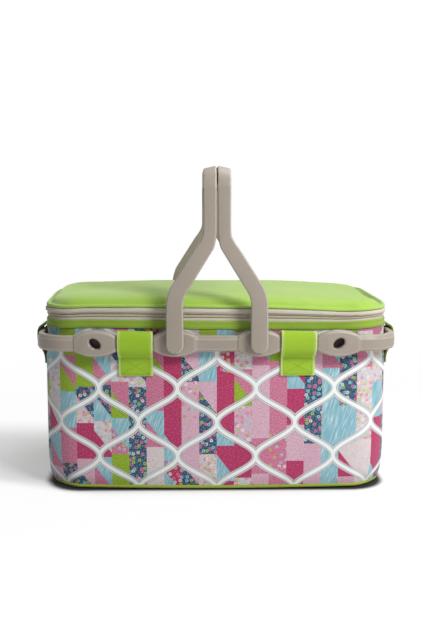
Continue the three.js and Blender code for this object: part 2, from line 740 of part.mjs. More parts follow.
/** Places up the front leg and round its shoulder, as pairs on the inner and outer face. */
function legPlaces() {
  const footTurns = [0.12, 0.3, 0.5, 0.75, 1];
  const rises = footTurns.map((share) => -(LEG_LOW_WIDTH / 2) * Math.cos((share * PI) / 2));
  for (const bend of [LOW_BEND_RISE, HIGH_BEND_RISE]) {
    for (let i = 0; i <= BEND_STEPS; i++) rises.push(bend + BEND_LENGTH * (i / BEND_STEPS - 0.5));
  }
  const places = rises.map((rise) => [
    new THREE.Vector2(legInnerY, barZ + rise),
    new THREE.Vector2(legOuterY, barZ + rise),
  ]);
  for (let i = 0; i <= CORNER_STEPS; i++) {
    const turn = (PI / 2) * (i / CORNER_STEPS);
    const direction = new THREE.Vector2(Math.cos(turn), Math.sin(turn));
    const armpit = new THREE.Vector2(legInnerY - ARMPIT_RADIUS, gripLow - ARMPIT_RADIUS);
    const shoulder = new THREE.Vector2(legOuterY - SHOULDER_RADIUS, handleTop - SHOULDER_RADIUS);
    places.push([
      armpit.addScaledVector(direction, ARMPIT_RADIUS),
      shoulder.addScaledVector(direction, SHOULDER_RADIUS),
    ]);
  }
  return places;
}

/** Right handle: front leg, grip and back leg in one, with the two pivots that pass the bosses. */
function handle() {
  const front = legPlaces().map(([inner, outer]) => handleRing(inner, outer));
  const back = front.map((ring) => ring.map((p) => new THREE.Vector3(p.x, -p.y, p.z))).reverse();
  let body = solid(loft([...front, ...back]));
  const tip = frameInnerY - SEAM - CAP_THICKNESS - PIVOT_TIP;
  const length = legInnerY + LEG_THICKNESS / 2 - tip;
  for (const side of [-1, 1]) {
    const pin = new THREE.CylinderGeometry(PIVOT_RADIUS, PIVOT_RADIUS, length, 2 * ROUND_STEPS);
    body = body.add(solid(pin.translate(pivotX, side * (tip + length / 2), barZ)));
  }
  return surface(body);
}

/** Snap cap round the tip of a pivot, behind the boss at the front. */
function pivotCap() {
  const bore = PIVOT_RADIUS + PIVOT_PLAY;
  const section = rectangle(bore, CAP_RADIUS, 0, CAP_THICKNESS);
  const profile = [...section, section[0]].map(([radius, along]) => new THREE.Vector2(radius, along));
  const ring = new THREE.LatheGeometry(profile, 2 * ROUND_STEPS);
  return ring.translate(pivotX, SEAM - frameInnerY, barZ);
}

/** A handle with its two snap caps. */
function handleSet(side, nearName, farName) {
  const group = new THREE.Group();
  group.add(piece(`handle_${side}`, handle(), TAUPE_PLASTIC));
  group.add(piece(`pivot_cap_${side}_${nearName}`, pivotCap(), TAUPE_PLASTIC));
  const farCap = pivotCap().translate(0, 0, -barZ).rotateX(PI).translate(0, 0, barZ);
  group.add(piece(`pivot_cap_${side}_${farName}`, farCap, TAUPE_PLASTIC));
  return group;
}

const picnicBag = new THREE.Group();
const frontHalf = frameHalf(['front_left', 'front_middle', 'front_right', 'bow_right']);
const backHalf = frameHalf(['back_right', 'back_middle', 'back_left', 'bow_left']);
const rightHandle = handleSet('right', 'front', 'back');
const leftHandle = handleSet('left', 'back', 'front');
backHalf.rotation.z = PI;
leftHandle.rotation.z = PI;
picnicBag.add(bagWalls(), lowerZip(), lid(), zipSlider(), zipPull());
picnicBag.add(frontHalf, backHalf, straps(), rightHandle, leftHandle);

export default picnicBag;
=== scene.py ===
# %% [markdown]
# # An insulated picnic bag
# A soft box of printed cloth over foam, with a zipped lid, a plastic ring frame that hangs in
# cloth straps, and two swing handles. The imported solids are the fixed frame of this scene: they
# give each place and size, and every piece below is worked out round them, in millimetres until
# the very last step.

import math
from collections import namedtuple

import bpy
import numpy as np
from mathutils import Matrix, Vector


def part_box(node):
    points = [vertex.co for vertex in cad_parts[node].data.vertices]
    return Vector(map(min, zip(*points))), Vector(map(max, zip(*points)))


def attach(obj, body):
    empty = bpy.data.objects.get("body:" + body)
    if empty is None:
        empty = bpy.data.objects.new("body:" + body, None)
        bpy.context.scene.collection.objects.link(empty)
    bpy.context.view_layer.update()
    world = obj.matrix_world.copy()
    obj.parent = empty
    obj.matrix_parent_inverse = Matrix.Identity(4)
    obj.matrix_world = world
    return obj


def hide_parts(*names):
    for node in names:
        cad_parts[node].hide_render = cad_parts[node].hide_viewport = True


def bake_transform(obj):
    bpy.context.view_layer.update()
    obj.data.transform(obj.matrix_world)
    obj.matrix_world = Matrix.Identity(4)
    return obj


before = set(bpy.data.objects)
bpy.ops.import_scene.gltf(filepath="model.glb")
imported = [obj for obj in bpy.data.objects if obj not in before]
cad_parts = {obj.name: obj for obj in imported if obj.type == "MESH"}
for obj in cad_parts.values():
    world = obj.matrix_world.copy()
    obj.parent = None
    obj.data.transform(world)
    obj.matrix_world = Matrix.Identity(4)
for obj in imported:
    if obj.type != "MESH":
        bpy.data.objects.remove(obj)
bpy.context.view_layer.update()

# %% [markdown]
# The camera comes first. The photograph was taken from a little left of the middle and about as
# high as the handles, with a lens of about 53 mm on a full-size sensor. A camera can be moved by
# hand until things look right, but these numbers come from a fit of the solids' outlines to the
# photograph, so they are simply written down here.

# %% The camera
EYE = (-0.0240, -1.2734, 0.376)
LENS, LOOK_DOWN, LOOK_RIGHT = 52.63, 7.53, 0.807


def added(name, data):
    """A new object for some data, linked into the scene."""
    thing = bpy.data.objects.new(name, data)
    bpy.context.scene.collection.objects.link(thing)
    return thing


camera = added("camera", bpy.data.cameras.new("camera"))
camera.data.lens, camera.location = LENS, EYE
camera.rotation_euler = (math.radians(90 - LOOK_DOWN), 0, math.radians(-LOOK_RIGHT))
bpy.context.scene.camera = camera
print("camera", EYE, "lens", LENS)

# %% [markdown]
# Sizes are read from the solids wherever a box can give them. The few that a box can't give, such
# as the radius of the rounded corners, are repeated from the part's own drawing.

# %% Sizes
MM = 0.001


def corners(node):
    """Lowest and highest corner of a solid, in millimetres."""
    low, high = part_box(node)
    return np.array(low) / MM, np.array(high) / MM


def heights_of(node):
    """Lowest and highest height of a solid, in millimetres."""
    low, high = corners(node)
    return low[2], high[2]


HALF_LENGTH, HALF_DEPTH, _ = corners("outer_wall")[1]
WALL_LOW, WALL_TOP = heights_of("outer_wall")
BAND_LOW, RIM = heights_of("rim_band")
CORNER_RADIUS, BOW_RADIUS = 46.0, 2400.0
print("wall", HALF_LENGTH * 2, "x", HALF_DEPTH * 2, "mm, rim at", round(RIM, 2))

# %% [markdown]
# Nearly every piece is a grid of points, so one pair of functions turns grids into meshes. Blender
# could loft or bevel curves instead, but a grid worked out as whole arrays is quick and exact. A
# grid can run round to its own start in either direction, which gives tubes and rings, and an open
# tube gets a fan of triangles on each end so that it is closed. Distances along the grid become
# the UV map, in metres, so a weave or a print keeps its size on every piece.


# %% Shells from grids of points
def measured_uv(points, wrap):
    """Mean distance run along the rows and along the columns of a grid, in metres."""
    grid = np.concatenate([points, points[:1]], 0) if wrap[0] else points
    grid = np.concatenate([grid, grid[:, :1]], 1) if wrap[1] else grid
    along = np.linalg.norm(np.diff(grid, axis=0), axis=2).mean(1)
    across = np.linalg.norm(np.diff(grid, axis=1), axis=2).mean(0)
    u = np.concatenate([[0], np.cumsum(along)]) * MM
    v = np.concatenate([[0], np.cumsum(across)]) * MM
    return np.stack(np.meshgrid(u, v, indexing="ij"), 2)


def fans(columns, last, middle):
    """Triangles from a first ring to one middle point, and from a last ring to the next one."""
    ring = np.arange(columns)
    after = (ring + 1) % columns
    first_fan = np.stack([ring, after, np.full(columns, middle)], 1)
    last_fan = np.stack([last + after, last + ring, np.full(columns, middle + 1)], 1)
    return np.concatenate([first_fan, last_fan])


def shell(points, wrap=(False, True), caps=True, uv=None, wear_and_edge_shade=0.0):
    """Quads between neighbours of points[row, column], or of many grids alike in points[k, ...].

    Row i and column j join (i, j), (i + 1, j), (i + 1, j + 1) and (i, j + 1), counted round where
    the grid wraps. The signed volume, the sum of a . (b x c) / 6, tells which way the faces point.
    Wear and edge shading are kept at each point, from 0 on a flat to 1 on an edge: wear that hands
    rub on plastic, and painted light or shade along the edges of webbing."""
    many = np.asarray(points, float)
    many = many.reshape((-1,) + many.shape[-3:])
    count, rows, columns = many.shape[:3]
    i, j = np.meshgrid(np.arange(rows - (not wrap[0])), np.arange(columns - (not wrap[1])),
                       indexing="ij")
    row = i.reshape(-1, 1) + np.array([[0, 1, 1, 0]])
    column = j.reshape(-1, 1) + np.array([[0, 0, 1, 1]])
    quads = (row % rows) * columns + column % columns
    uv = measured_uv(many[0], wrap) if uv is None else uv
    quad_uv = uv[row, column]
    places = many.reshape(count, rows * columns, 3)
    rubbed = np.broadcast_to(wear_and_edge_shade, (count, rows, columns)).reshape(count, -1)
    tris, tri_uv = np.zeros((0, 3), int), np.zeros((0, 3, 2))
    capped = caps and wrap[1] and not wrap[0]
    if capped:
        places = np.concatenate([places, many[:, [0, -1]].mean(2)], 1)
        rubbed = np.concatenate([rubbed, np.zeros((count, 2))], 1)
        tris = fans(columns, (rows - 1) * columns, rows * columns)
        ring_uv = np.concatenate([uv[0, :columns], uv[-1, :columns], uv[[0, -1]].mean(1)])
        tri_uv = ring_uv[fans(columns, columns, 2 * columns)]
    if capped or all(wrap):
        flat = np.concatenate([quads[:, [0, 1, 2]], quads[:, [0, 2, 3]], tris])
        a, b, c = (places[0][flat[:, k]] for k in range(3))
        if np.einsum("ij,ij->", a, np.cross(b, c)) < 0:
            quads, quad_uv = quads[:, ::-1], quad_uv[:, ::-1]
            tris, tri_uv = tris[:, ::-1], tri_uv[:, ::-1]
    step = np.arange(count).reshape(-1, 1, 1) * places.shape[1]
    return {
        "points": places.reshape(-1, 3),
        "wear_and_edge_shade": rubbed.ravel(),
        "quads": (quads[None] + step).reshape(-1, 4),
        "tris": (tris[None] + step).reshape(-1, 3),
        "quad_uv": np.broadcast_to(quad_uv, (count,) + quad_uv.shape).reshape(-1, 2),
        "tri_uv": np.broadcast_to(tri_uv, (count,) + tri_uv.shape).reshape(-1, 2),
    }


# %% [markdown]
# A mesh takes its points, corners and faces in three long lists, which is far quicker than adding
# them one by one. Each piece then gets its finish, rides on a body of the part, and hides the
# solids it stands for. Edges sharper than an angle stay crisp and all the rest is shaded smooth.

# %% Meshes and pieces
SHARP = 38


def mesh_of(name, shells, sharp=SHARP):
    """One mesh from several shells, smooth but for edges sharper than an angle in degrees."""
    starts = np.cumsum([0] + [len(s["points"]) for s in shells])
    quads = np.concatenate([s["quads"] + k for s, k in zip(shells, starts)])
    tris = np.concatenate([s["tris"] + k for s, k in zip(shells, starts)])
    mesh = bpy.data.meshes.new(name)
    mesh.vertices.add(starts[-1])
    mesh.vertices.foreach_set("co", np.concatenate([s["points"] for s in shells]).ravel() * MM)
    loops = np.concatenate([quads.ravel(), tris.ravel()]).astype(np.int32)
    mesh.loops.add(len(loops))
    mesh.loops.foreach_set("vertex_index", loops)
    mesh.polygons.add(len(quads) + len(tris))
    begin = np.concatenate([np.arange(len(quads)) * 4, len(quads) * 4 + np.arange(len(tris)) * 3])
    mesh.polygons.foreach_set("loop_start", begin.astype(np.int32))
    mesh.update(calc_edges=True)
    uv = np.concatenate([s["quad_uv"] for s in shells] + [s["tri_uv"] for s in shells])
    layer = mesh.uv_layers.new(name="UVMap")
    layer.data.foreach_set("uv", uv.astype(np.float32).ravel())
    wear_and_edge_shade = np.concatenate([s["wear_and_edge_shade"] for s in shells])
    worn = mesh.attributes.new("wear_and_edge_shade", "FLOAT", "POINT")
    worn.data.foreach_set("value", wear_and_edge_shade.astype(np.float32))
    mesh.validate()
    mesh.shade_smooth()
    mesh.set_sharp_from_angle(angle=math.radians(sharp))
    return mesh


def piece(name, shells, finish, body, nodes=(), sharp=SHARP):
    """A named object that rides on a body, hides the solids it stands for and takes a finish."""
    thing = added(name, mesh_of(name, shells, sharp))
    thing.data.materials.append(finish)
    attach(thing, body)
    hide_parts(*nodes)
    triangles = sum(2 * len(s["quads"]) + len(s["tris"]) for s in shells)
    print(f"{name}: {triangles} triangles on {body}")
    return thing


# %% [markdown]
# A few small shapers serve all the profiles. One cuts the corners of a polyline again and again
# until it is a soft curve, which suits cloth. Another rounds each corner of a polygon by a set
# radius, which suits moulded plastic. The others spread points evenly along a path, ease a value
# from 0 to 1, and square off a circle.


# %% Curves and profiles
def softened(path, rounds=4):
    """Corner cutting: each side a-b gives 3a/4 + b/4 and a/4 + 3b/4, with the two ends kept."""
    path = np.asarray(path, float)
    for _ in range(rounds):
        a, b = path[:-1], path[1:]
        cuts = np.stack([0.75 * a + 0.25 * b, 0.25 * a + 0.75 * b], 1)
        path = np.concatenate([path[:1], cuts.reshape(-1, path.shape[1]), path[-1:]])
    return path


def length_of(path):
    """Distance run from the start of a polyline to each of its points."""
    return np.concatenate([[0], np.cumsum(np.linalg.norm(np.diff(path, axis=0), axis=1))])


def spread(path, count):
    """Points at equal steps of the distance run along a polyline."""
    path = np.asarray(path, float)
    run = length_of(path)
    at = np.linspace(0, run[-1], count)
    return np.stack([np.interp(at, run, path[:, k]) for k in range(path.shape[1])], 1)


def rounded(polygon, radius, steps=4):
    """Corner p becomes (1 - t)^2 a + 2 t (1 - t) p + t^2 b, a and b a radius away on its sides.

    Works on polygon[..., corner, xy], so a whole row of sections is rounded at once."""
    p = np.asarray(polygon, float)
    before, after = np.roll(p, 1, -2) - p, np.roll(p, -1, -2) - p
    long_before = np.linalg.norm(before, axis=-1, keepdims=True)
    long_after = np.linalg.norm(after, axis=-1, keepdims=True)
    reach = np.minimum(radius, 0.45 * np.minimum(long_before, long_after))
    a = (p + before / long_before * reach)[..., None, :]
    b = (p + after / long_after * reach)[..., None, :]
    t = np.linspace(0, 1, steps + 1)[:, None]
    arcs = (1 - t) ** 2 * a + 2 * t * (1 - t) * p[..., None, :] + t**2 * b
    return arcs.reshape(p.shape[:-2] + (-1, p.shape[-1]))


def ramp(low, high, value):
    """Smooth step: 3 t^2 - 2 t^3, where t goes from 0 at low to 1 at high."""
    t = np.clip((value - low) / (high - low), 0, 1)
    return t * t * (3 - 2 * t)


def unit(vectors):
    """Vectors made one long."""
    return vectors / np.linalg.norm(vectors, axis=-1, keepdims=True)


def squared_off(wave, power):
    """|wave|^power with the sign of the wave: below 1 it pushes a circle out towards a box."""
    return np.sign(wave) * np.abs(wave) ** power


# %% [markdown]
# All the cloth runs round one plan: gently bowed long sides, round corners and straight ends. The
# plan is kept as a curve that knows its distance run and which way is outwards, so a wall, a band,
# a zip or a piping is just a section carried along it.

# %% The plan of the bag
Track = namedtuple("Track", "xy out turn run")


def plan_curve():
    """Points, turn of the outward direction and distance run, from the back's middle by the right.

    A long side is (R sin t, b + R cos t) and a corner (cx + r sin t, cy + r cos t), mirrored."""
    corner_x = HALF_LENGTH - CORNER_RADIUS
    bow_y = HALF_DEPTH - BOW_RADIUS
    corner_y = bow_y + math.sqrt((BOW_RADIUS - CORNER_RADIUS) ** 2 - corner_x**2)
    start = math.atan2(corner_x, corner_y - bow_y)
    bow, arc = np.linspace(0, start, 90), np.linspace(start, math.pi / 2, 90)
    x = np.concatenate([BOW_RADIUS * np.sin(bow), corner_x + CORNER_RADIUS * np.sin(arc)])
    y = np.concatenate([bow_y + BOW_RADIUS * np.cos(bow), corner_y + CORNER_RADIUS * np.cos(arc)])
    turn = np.concatenate([bow, arc])
    x, y = np.concatenate([x, x[::-1]]), np.concatenate([y, -y[::-1]])
    turn = np.concatenate([turn, math.pi - turn[::-1]])
    x, y = np.concatenate([x, -x[::-1]]), np.concatenate([y, y[::-1]])
    turn = np.concatenate([turn, 2 * math.pi - turn[::-1]])
    return x, y, turn, length_of(np.stack([x, y], 1))


PLAN = plan_curve()
AROUND = PLAN[3][-1]


def track(count, gap=0.0):
    """Even steps round the plan, or round all of it but a gap at the back."""
    x, y, turn, run = PLAN
    at = np.arange(count) * AROUND / count
    if gap:
        at = np.linspace(gap / 2, AROUND - gap / 2, count)
    turn = np.interp(at, run, turn)
    xy = np.stack([np.interp(at, run, x), np.interp(at, run, y)], 1)
    return Track(xy, np.stack([np.sin(turn), np.cos(turn)], 1), turn, at)


def along_plan(way, out, height):
    """Point [i, j] is the plan's point i, moved outwards by out[i, j], at height[i, j]."""
    out, height = np.broadcast_arrays(out, height)
    out = np.broadcast_to(out, (len(way.xy), out.shape[-1]))
    height = np.broadcast_to(height, out.shape)
    flat = way.xy[:, None] + way.out[:, None] * out[..., None]
    return np.concatenate([flat, height[..., None]], 2)


def carried(way, section, out=0.0, up=0.0):
    """A section of (outwards, height) carried round the plan, moved outwards and up."""
    return along_plan(way, section[:, 0] + out, section[:, 1] + up)


def tube_section(out, height, radius, count=14, boxy=2.0):
    """Ring |x / r|^boxy + |z / r|^boxy = 1 in a wall section, a circle where boxy is 2."""
    t = np.arange(count) * 2 * math.pi / count
    x, z = (squared_off(wave, 2 / boxy) for wave in (np.cos(t), np.sin(t)))
    return np.stack([out + radius * x, height + radius * z], 1)


print("round the bag:", round(AROUND, 1), "mm")

# %% [markdown]
# Finishes are written as sums. A finish could be wired by hand in the shader editor, but then it is
# hard to read again. A small class wraps a shader socket and turns each operator into a Math node,
# so a stripe or a weave reads like the formula it is. Any other node comes from its one method.


# %% Shader sums
class Wire:
    """A shader value. Operators add Math nodes, and node() adds any other node."""

    def __init__(self, tree, socket):
        self.tree, self.socket = tree, socket

    def node(self, kind, settings=None, inputs=None, output=0):
        """A node of some type: its settings first, then the values or links of its sockets."""
        made = self.tree.nodes.new(kind)
        settings = dict(settings or {})
        stops, steps = settings.pop("stops", None), settings.pop("interpolation", None)
        for key, value in settings.items():
            setattr(made, key, value)
        if steps:
            made.color_ramp.interpolation = steps
        if stops:
            marks = made.color_ramp.elements
            marks.remove(marks[1])
            marks[0].position, marks[0].color = stops[0]
            for place, colour in stops[1:]:
                marks.new(place).color = colour
        for key, value in (inputs or {}).items():
            if isinstance(value, Wire):
                self.tree.links.new(value.socket, made.inputs[key])
            else:
                made.inputs[key].default_value = value
        return Wire(self.tree, made.outputs[output])

    def maths(self, operation, *values):
        return self.node("ShaderNodeMath", {"operation": operation}, dict(enumerate(values)))

    def fn(self, operation, *more):
        """An operation without a sign of its own, such as SINE, on this value."""
        return self.maths(operation, self, *more)

    def other(self, name):
        """Another output of the node that this value comes from."""
        return Wire(self.tree, self.socket.node.outputs[name])

    def parts(self):
        """The x, y and z of a vector."""
        x = self.node("ShaderNodeSeparateXYZ", None, {0: self})
        return x, x.other("Y"), x.other("Z")

    def step(self, low, high):
        """Smooth step from 0 at low to 1 at high."""
        inputs = {"Value": self, "From Min": low, "From Max": high}
        return self.node("ShaderNodeMapRange", {"interpolation_type": "SMOOTHSTEP"}, inputs)

    def mixed(self, a, b):
        """From colour a to colour b by this value."""
        return self.node("ShaderNodeMix", {"data_type": "RGBA"}, {0: self, 6: a, 7: b}, 2)

    def __add__(self, other): return self.maths("ADD", self, other)
    def __radd__(self, other): return self.maths("ADD", other, self)
    def __sub__(self, other): return self.maths("SUBTRACT", self, other)
    def __rsub__(self, other): return self.maths("SUBTRACT", other, self)
    def __mul__(self, other): return self.maths("MULTIPLY", self, other)
    def __rmul__(self, other): return self.maths("MULTIPLY", other, self)
    def __truediv__(self, other): return self.maths("DIVIDE", self, other)
    def __rtruediv__(self, other): return self.maths("DIVIDE", other, self)
    def __mod__(self, other): return self.maths("FLOORED_MODULO", self, other)
    def __rmod__(self, other): return self.maths("FLOORED_MODULO", other, self)
    def __lt__(self, other): return self.maths("LESS_THAN", self, other)
    def __gt__(self, other): return self.maths("GREATER_THAN", self, other)
    def __abs__(self): return self.maths("ABSOLUTE", self)


# %% [markdown]
# A few helpers stand on that class, because every finish on the bag needs them: a colour written
# as a printer writes it, a new material, a place on the piece, clouds and cells of noise, and a
# height that raises a grain. All of them use the object's own coordinates or its UV map, so a
# finish stays on its piece when the lid or a handle swings.


# %% Helpers for finishes
def hue(code):
    """Six hex digits as linear light: ((c + 0.055) / 1.055) ^ 2.4 above the toe."""
    parts = np.array([int(code[k:k + 2], 16) for k in (0, 2, 4)]) / 255
    linear = np.where(parts > 0.04045, ((parts + 0.055) / 1.055) ** 2.4, parts / 12.92)
    return (*linear.tolist(), 1.0)


def new_finish(name, **fixed):
    """A material, its first wire and its shader, on which what is the same all over is set."""
    material = bpy.data.materials.new(name)
    material.use_nodes = True
    tree = material.node_tree
    shader = tree.nodes["Principled BSDF"]
    for key, value in fixed.items():
        shader.inputs[key.replace("_", " ")].default_value = value
    return material, Wire(tree, shader.outputs[0]), shader


def lead(shader, socket, wire):
    """Lets a wire drive one of a shader's sockets."""
    wire.tree.links.new(wire.socket, shader.inputs[socket])


def raise_grain(shader, height, strength, depth):
    """Lets a height of 0 to 1 tilt a shader's normal, as if it stood out by a depth in metres."""
    inputs = {"Height": height, "Strength": strength, "Distance": depth}
    lead(shader, "Normal", height.node("ShaderNodeBump", None, inputs))


def on_object(wire):
    """Where a point lies in the object's own coordinates, in metres."""
    return wire.node("ShaderNodeTexCoord", output="Object")


def edges_worn_and_shaded(wire):
    """The mark kept in the mesh, 0 on a flat and 1 on an edge: wear on plastic, painted light or
    shade on webbing.
    """
    return wire.node("ShaderNodeAttribute", {"attribute_name": "wear_and_edge_shade"}, output="Fac")


def vector(x, y, z):
    """A vector from three values, the first of them a wire."""
    return x.node("ShaderNodeCombineXYZ", None, {0: x, 1: y, 2: z})


def mottle(place, scale, detail=3.0):
    """Cloudy noise about 0.5."""
    inputs = {"Vector": place, "Scale": scale, "Detail": detail}
    return place.node("ShaderNodeTexNoise", None, inputs)


def streaks(place, scales, detail):
    """Cloudy noise stretched into streaks by a scale for each axis."""
    stretched = place.node("ShaderNodeMapping", None, {"Vector": place, "Scale": scales})
    return mottle(stretched, 1.0, detail)


def cells(place, scale, **settings):
    """Distance to the nearest of many scattered points."""
    return place.node("ShaderNodeTexVoronoi", settings, {"Vector": place, "Scale": scale})


# %% [markdown]
# Every cloth on the bag shows the same build: threads over and under, painted shade between them,
# a little mottling where the dye took unevenly, and a soft sheen. A photograph of cloth could be
# laid on as a picture, but a formula has no seams and no size limit: height is a product of two
# sine waves, one for each set of threads. The edges of a webbing may get a painted highlight or
# painted shade.


# %% Plain cloth
def threads(u, v, pitch):
    """Height of a plain weave: 0.5 + 0.5 sin(2 pi u / pitch) sin(2 pi v / pitch)."""
    turn = 2 * math.pi / pitch
    return 0.5 + 0.5 * (u * turn).fn("SINE") * (v * turn).fn("SINE")


def plain_cloth(name, code, shade, pitch=0.0011, sheen=0.25, depth=0.00025, painted_edge_shading=None):
    """Dyed woven cloth: the colour drifts towards a shade in clouds of uneven dye, and between the
    threads as painted shade.

    A painted edge colour shows where the mesh's edge mark is 1: a pale painted highlight along the
    edges of a side strap, and dark painted shade along those of an end strap."""
    material, wire, shader = new_finish(name, Sheen_Weight=sheen, Sheen_Roughness=0.5,
                                        Specular_IOR_Level=0.35)
    u, v, _ = wire.node("ShaderNodeTexCoord", output="UV").parts()
    place = on_object(wire)
    weave, clouds, fine = threads(u, v, pitch), mottle(place, 22.0), mottle(place, 900.0, 1.0)
    # The clouds are uneven dye; the darker colour between the threads is painted shade.
    share = clouds.step(0.25, 0.8) * 0.45 + (1 - weave) * 0.25 + fine * 0.2
    body = share.mixed(hue(code), hue(shade))
    # Painted light on strap edges: a pale highlight on the side straps, dark shade on the end
    # straps.
    if painted_edge_shading:
        body = (edges_worn_and_shaded(wire) * 0.7).mixed(body, hue(painted_edge_shading))
    lead(shader, "Base Color", body)
    lead(shader, "Roughness", 0.78 - 0.1 * weave + 0.1 * fine)
    raise_grain(shader, weave * 0.7 + fine * 0.3, 0.5, depth)
    return material


lid_green = plain_cloth("lid green cloth", "9ABC48", "88AB36", sheen=0.36)
band_green = plain_cloth("binding green cloth", "90AE3A", "7C9929", pitch=0.0014)
# The pale edge colour of the side straps is a painted highlight on their rolled edges.
strap_green = plain_cloth("webbing green", "96B82E", "83A618", pitch=0.0019, sheen=0.05,
                          depth=0.0004, painted_edge_shading="C4D488")
# The end webbing is a darker copy of the webbing green as painted shade, and its dark edge colour
# is painted shade on the edges.
shade_dark_end_green = plain_cloth("end webbing green", "86A42C", "74921C", pitch=0.0019, depth=0.0004,
                        painted_edge_shading="4C5A1A")
taupe_tape = plain_cloth("taupe tape", "C6BFB2", "ADA598", pitch=0.0012)
base_green = plain_cloth("base green cloth", "9CAE3C", "82942C", pitch=0.0014)
# The seam thread is darker than the webbing as painted shade of the sunken stitch lines.
shade_dark_seam_thread = plain_cloth("seam thread", "64821A", "587616", pitch=0.0006)
# This thread is dark as painted shade of the sunken stitch holes on the rim band.
shade_dark_thread = plain_cloth("dark green thread", "6E8A26", "5E781E", pitch=0.0006)
print("materials so far, with those of the solids:", len(bpy.data.materials))

# %% [markdown]
# The wall's cloth is printed with a patchwork of upright strips under a white trellis. The strips
# are counted off along the wall, each one is cut into patches, and a patch draws its colour from a
# hash of its two numbers. Each colour has a way of its own, as if cut from another cloth: batik
# clouds on the pinks and the lime, brushed streaks on the aqua, a scribble on the white, and seeds
# and flecks on the navy. All of it is worked out from the UV map, so the print turns the corners
# with the cloth.

# %% Colours of the print
STRIP, PATCH = AROUND / 58, 47.0
SHARES = [0.0, 0.20, 0.34, 0.44, 0.63, 0.77, 0.87]
PALETTE = ["C8A3B3", "BA6C87", "A82D5B", "26405D", "86A322", "7FADB9", "CECBC9"]
LIGHTER = ["D6BFC9", "CF94A9", "C5577E", "78A9B8", "A4BB48", "B8D1D7", "DAD8D6"]
DARKER = ["AD7A92", "954766", "781C45", "14263B", "5F7C17", "50879B", "B06B86"]
SEEDS, SEED_SHARES = ["C96C8C", "8FC0CA", "A3BE3E", "DCD6D4"], [0.0, 0.4, 0.65, 0.85]


def hashed(a, b, seed):
    """One random number for a pair of whole numbers."""
    inputs = {"Vector": vector(a, b, seed)}
    return a.node("ShaderNodeTexWhiteNoise", {"noise_dimensions": "3D"}, inputs)


def chosen(value, codes, shares=SHARES):
    """One of a list of colours, each for its share of 0 to 1."""
    stops = [(share, hue(code)) for share, code in zip(shares, codes)]
    settings = {"stops": stops, "interpolation": "CONSTANT"}
    return value.node("ShaderNodeValToRGB", settings, {0: value})


# %% [markdown]
# A patch needs two things: which colour it is, and what is drawn on it. The first is a number from
# 0 to 1 that picks a colour from the list above. The second is a handful of masks, made from noise
# and from cells, and each mask is let through only on its own colours.

# %% Patchwork
UNCUT_SHARE, CORNER_SHARE = 0.42, 0.62


def patch_pick(u, v):
    """The number that picks a patch's colour, and a second random number, at a place in mm.

    Some strips stay whole, and some patches have a corner of another colour cut across them."""
    strip = u / STRIP
    column = strip.fn("FLOOR")
    level = v / PATCH + hashed(column, 3.0, 11.0) * 9.0
    row = level.fn("FLOOR")
    whole, cut_up = hashed(column, 0.0, 12.0), hashed(column, row, 13.0)
    pick = cut_up + (hashed(column, 7.0, 14.0) < UNCUT_SHARE) * (whole - cut_up)
    lean = hashed(column, row, 15.0)
    corner = (strip - column > (level - row) * 1.6 - 0.2) * (lean > CORNER_SHARE)
    return (pick + 0.41 * corner) % 1.0, hashed(column, row, 6.0)


def patchwork(u, v):
    """Colour of the patches with what is drawn on them, at a place in millimetres."""
    pick, kind = patch_pick(u, v)
    pale, navy = pick < SHARES[1], (pick > SHARES[3]) * (pick < SHARES[4])
    aqua, white = (pick > SHARES[5]) * (pick < SHARES[6]), pick > SHARES[6]
    cloudy = 1 - navy - aqua - white
    flat = vector(u, v, 0.0)
    batik = mottle(flat, 0.55)
    brush = mottle(vector(u * 0.7 + v * 0.22, v * 0.05, 0.0), 1.0)
    curls = mottle(flat, 0.17, 1.0)
    scribble = abs((curls * 10.0) % 1.0 - 0.5).step(0.16, 0.08)
    flecks = cells(flat, 0.42, voronoi_dimensions="2D")
    seeds = cells(flat, 0.15, voronoi_dimensions="2D")
    lines = abs((u * 0.6 + v) % 3.8 - 1.9).step(0.55, 0.3) * (kind > 0.86) * (1 - navy)
    light = cloudy * batik.step(0.5, 0.66) * 0.6 + aqua * brush.step(0.5, 0.66) * 0.8
    light = light + navy * flecks.step(0.3, 0.2) * 0.6
    dark = cloudy * batik.step(0.48, 0.34) * 0.5 + aqua * brush.step(0.46, 0.3) * 0.6
    dark = dark + (white * 0.75 + pale * 0.4) * scribble + lines * 0.4
    ground = light.mixed(chosen(pick, PALETTE), chosen(pick, LIGHTER))
    ground = dark.mixed(ground, chosen(pick, DARKER))
    tint, _, _ = seeds.other("Color").parts()
    sown = navy + white * (kind > 0.5) + cloudy * (kind < 0.1)
    spots = seeds.step(0.36, 0.29) * (seeds > 0.12) * sown
    return (spots * 0.85).mixed(ground, chosen(tint, SEEDS, SEED_SHARES))


# %% [markdown]
# The trellis lies over the patches: a white line, a fine grey line beside it, a pale band and
# another fine line. It is the old ogee form: upright waves that lean together and apart, mirrored
# from one column to the next. How far a place is from the wave is the sideways distance, made
# shorter by the wave's slope, so the line keeps its width where it leans.

# %% Printed cloth
TRELLIS, TRELLIS_RISE = AROUND / 13, 88.0


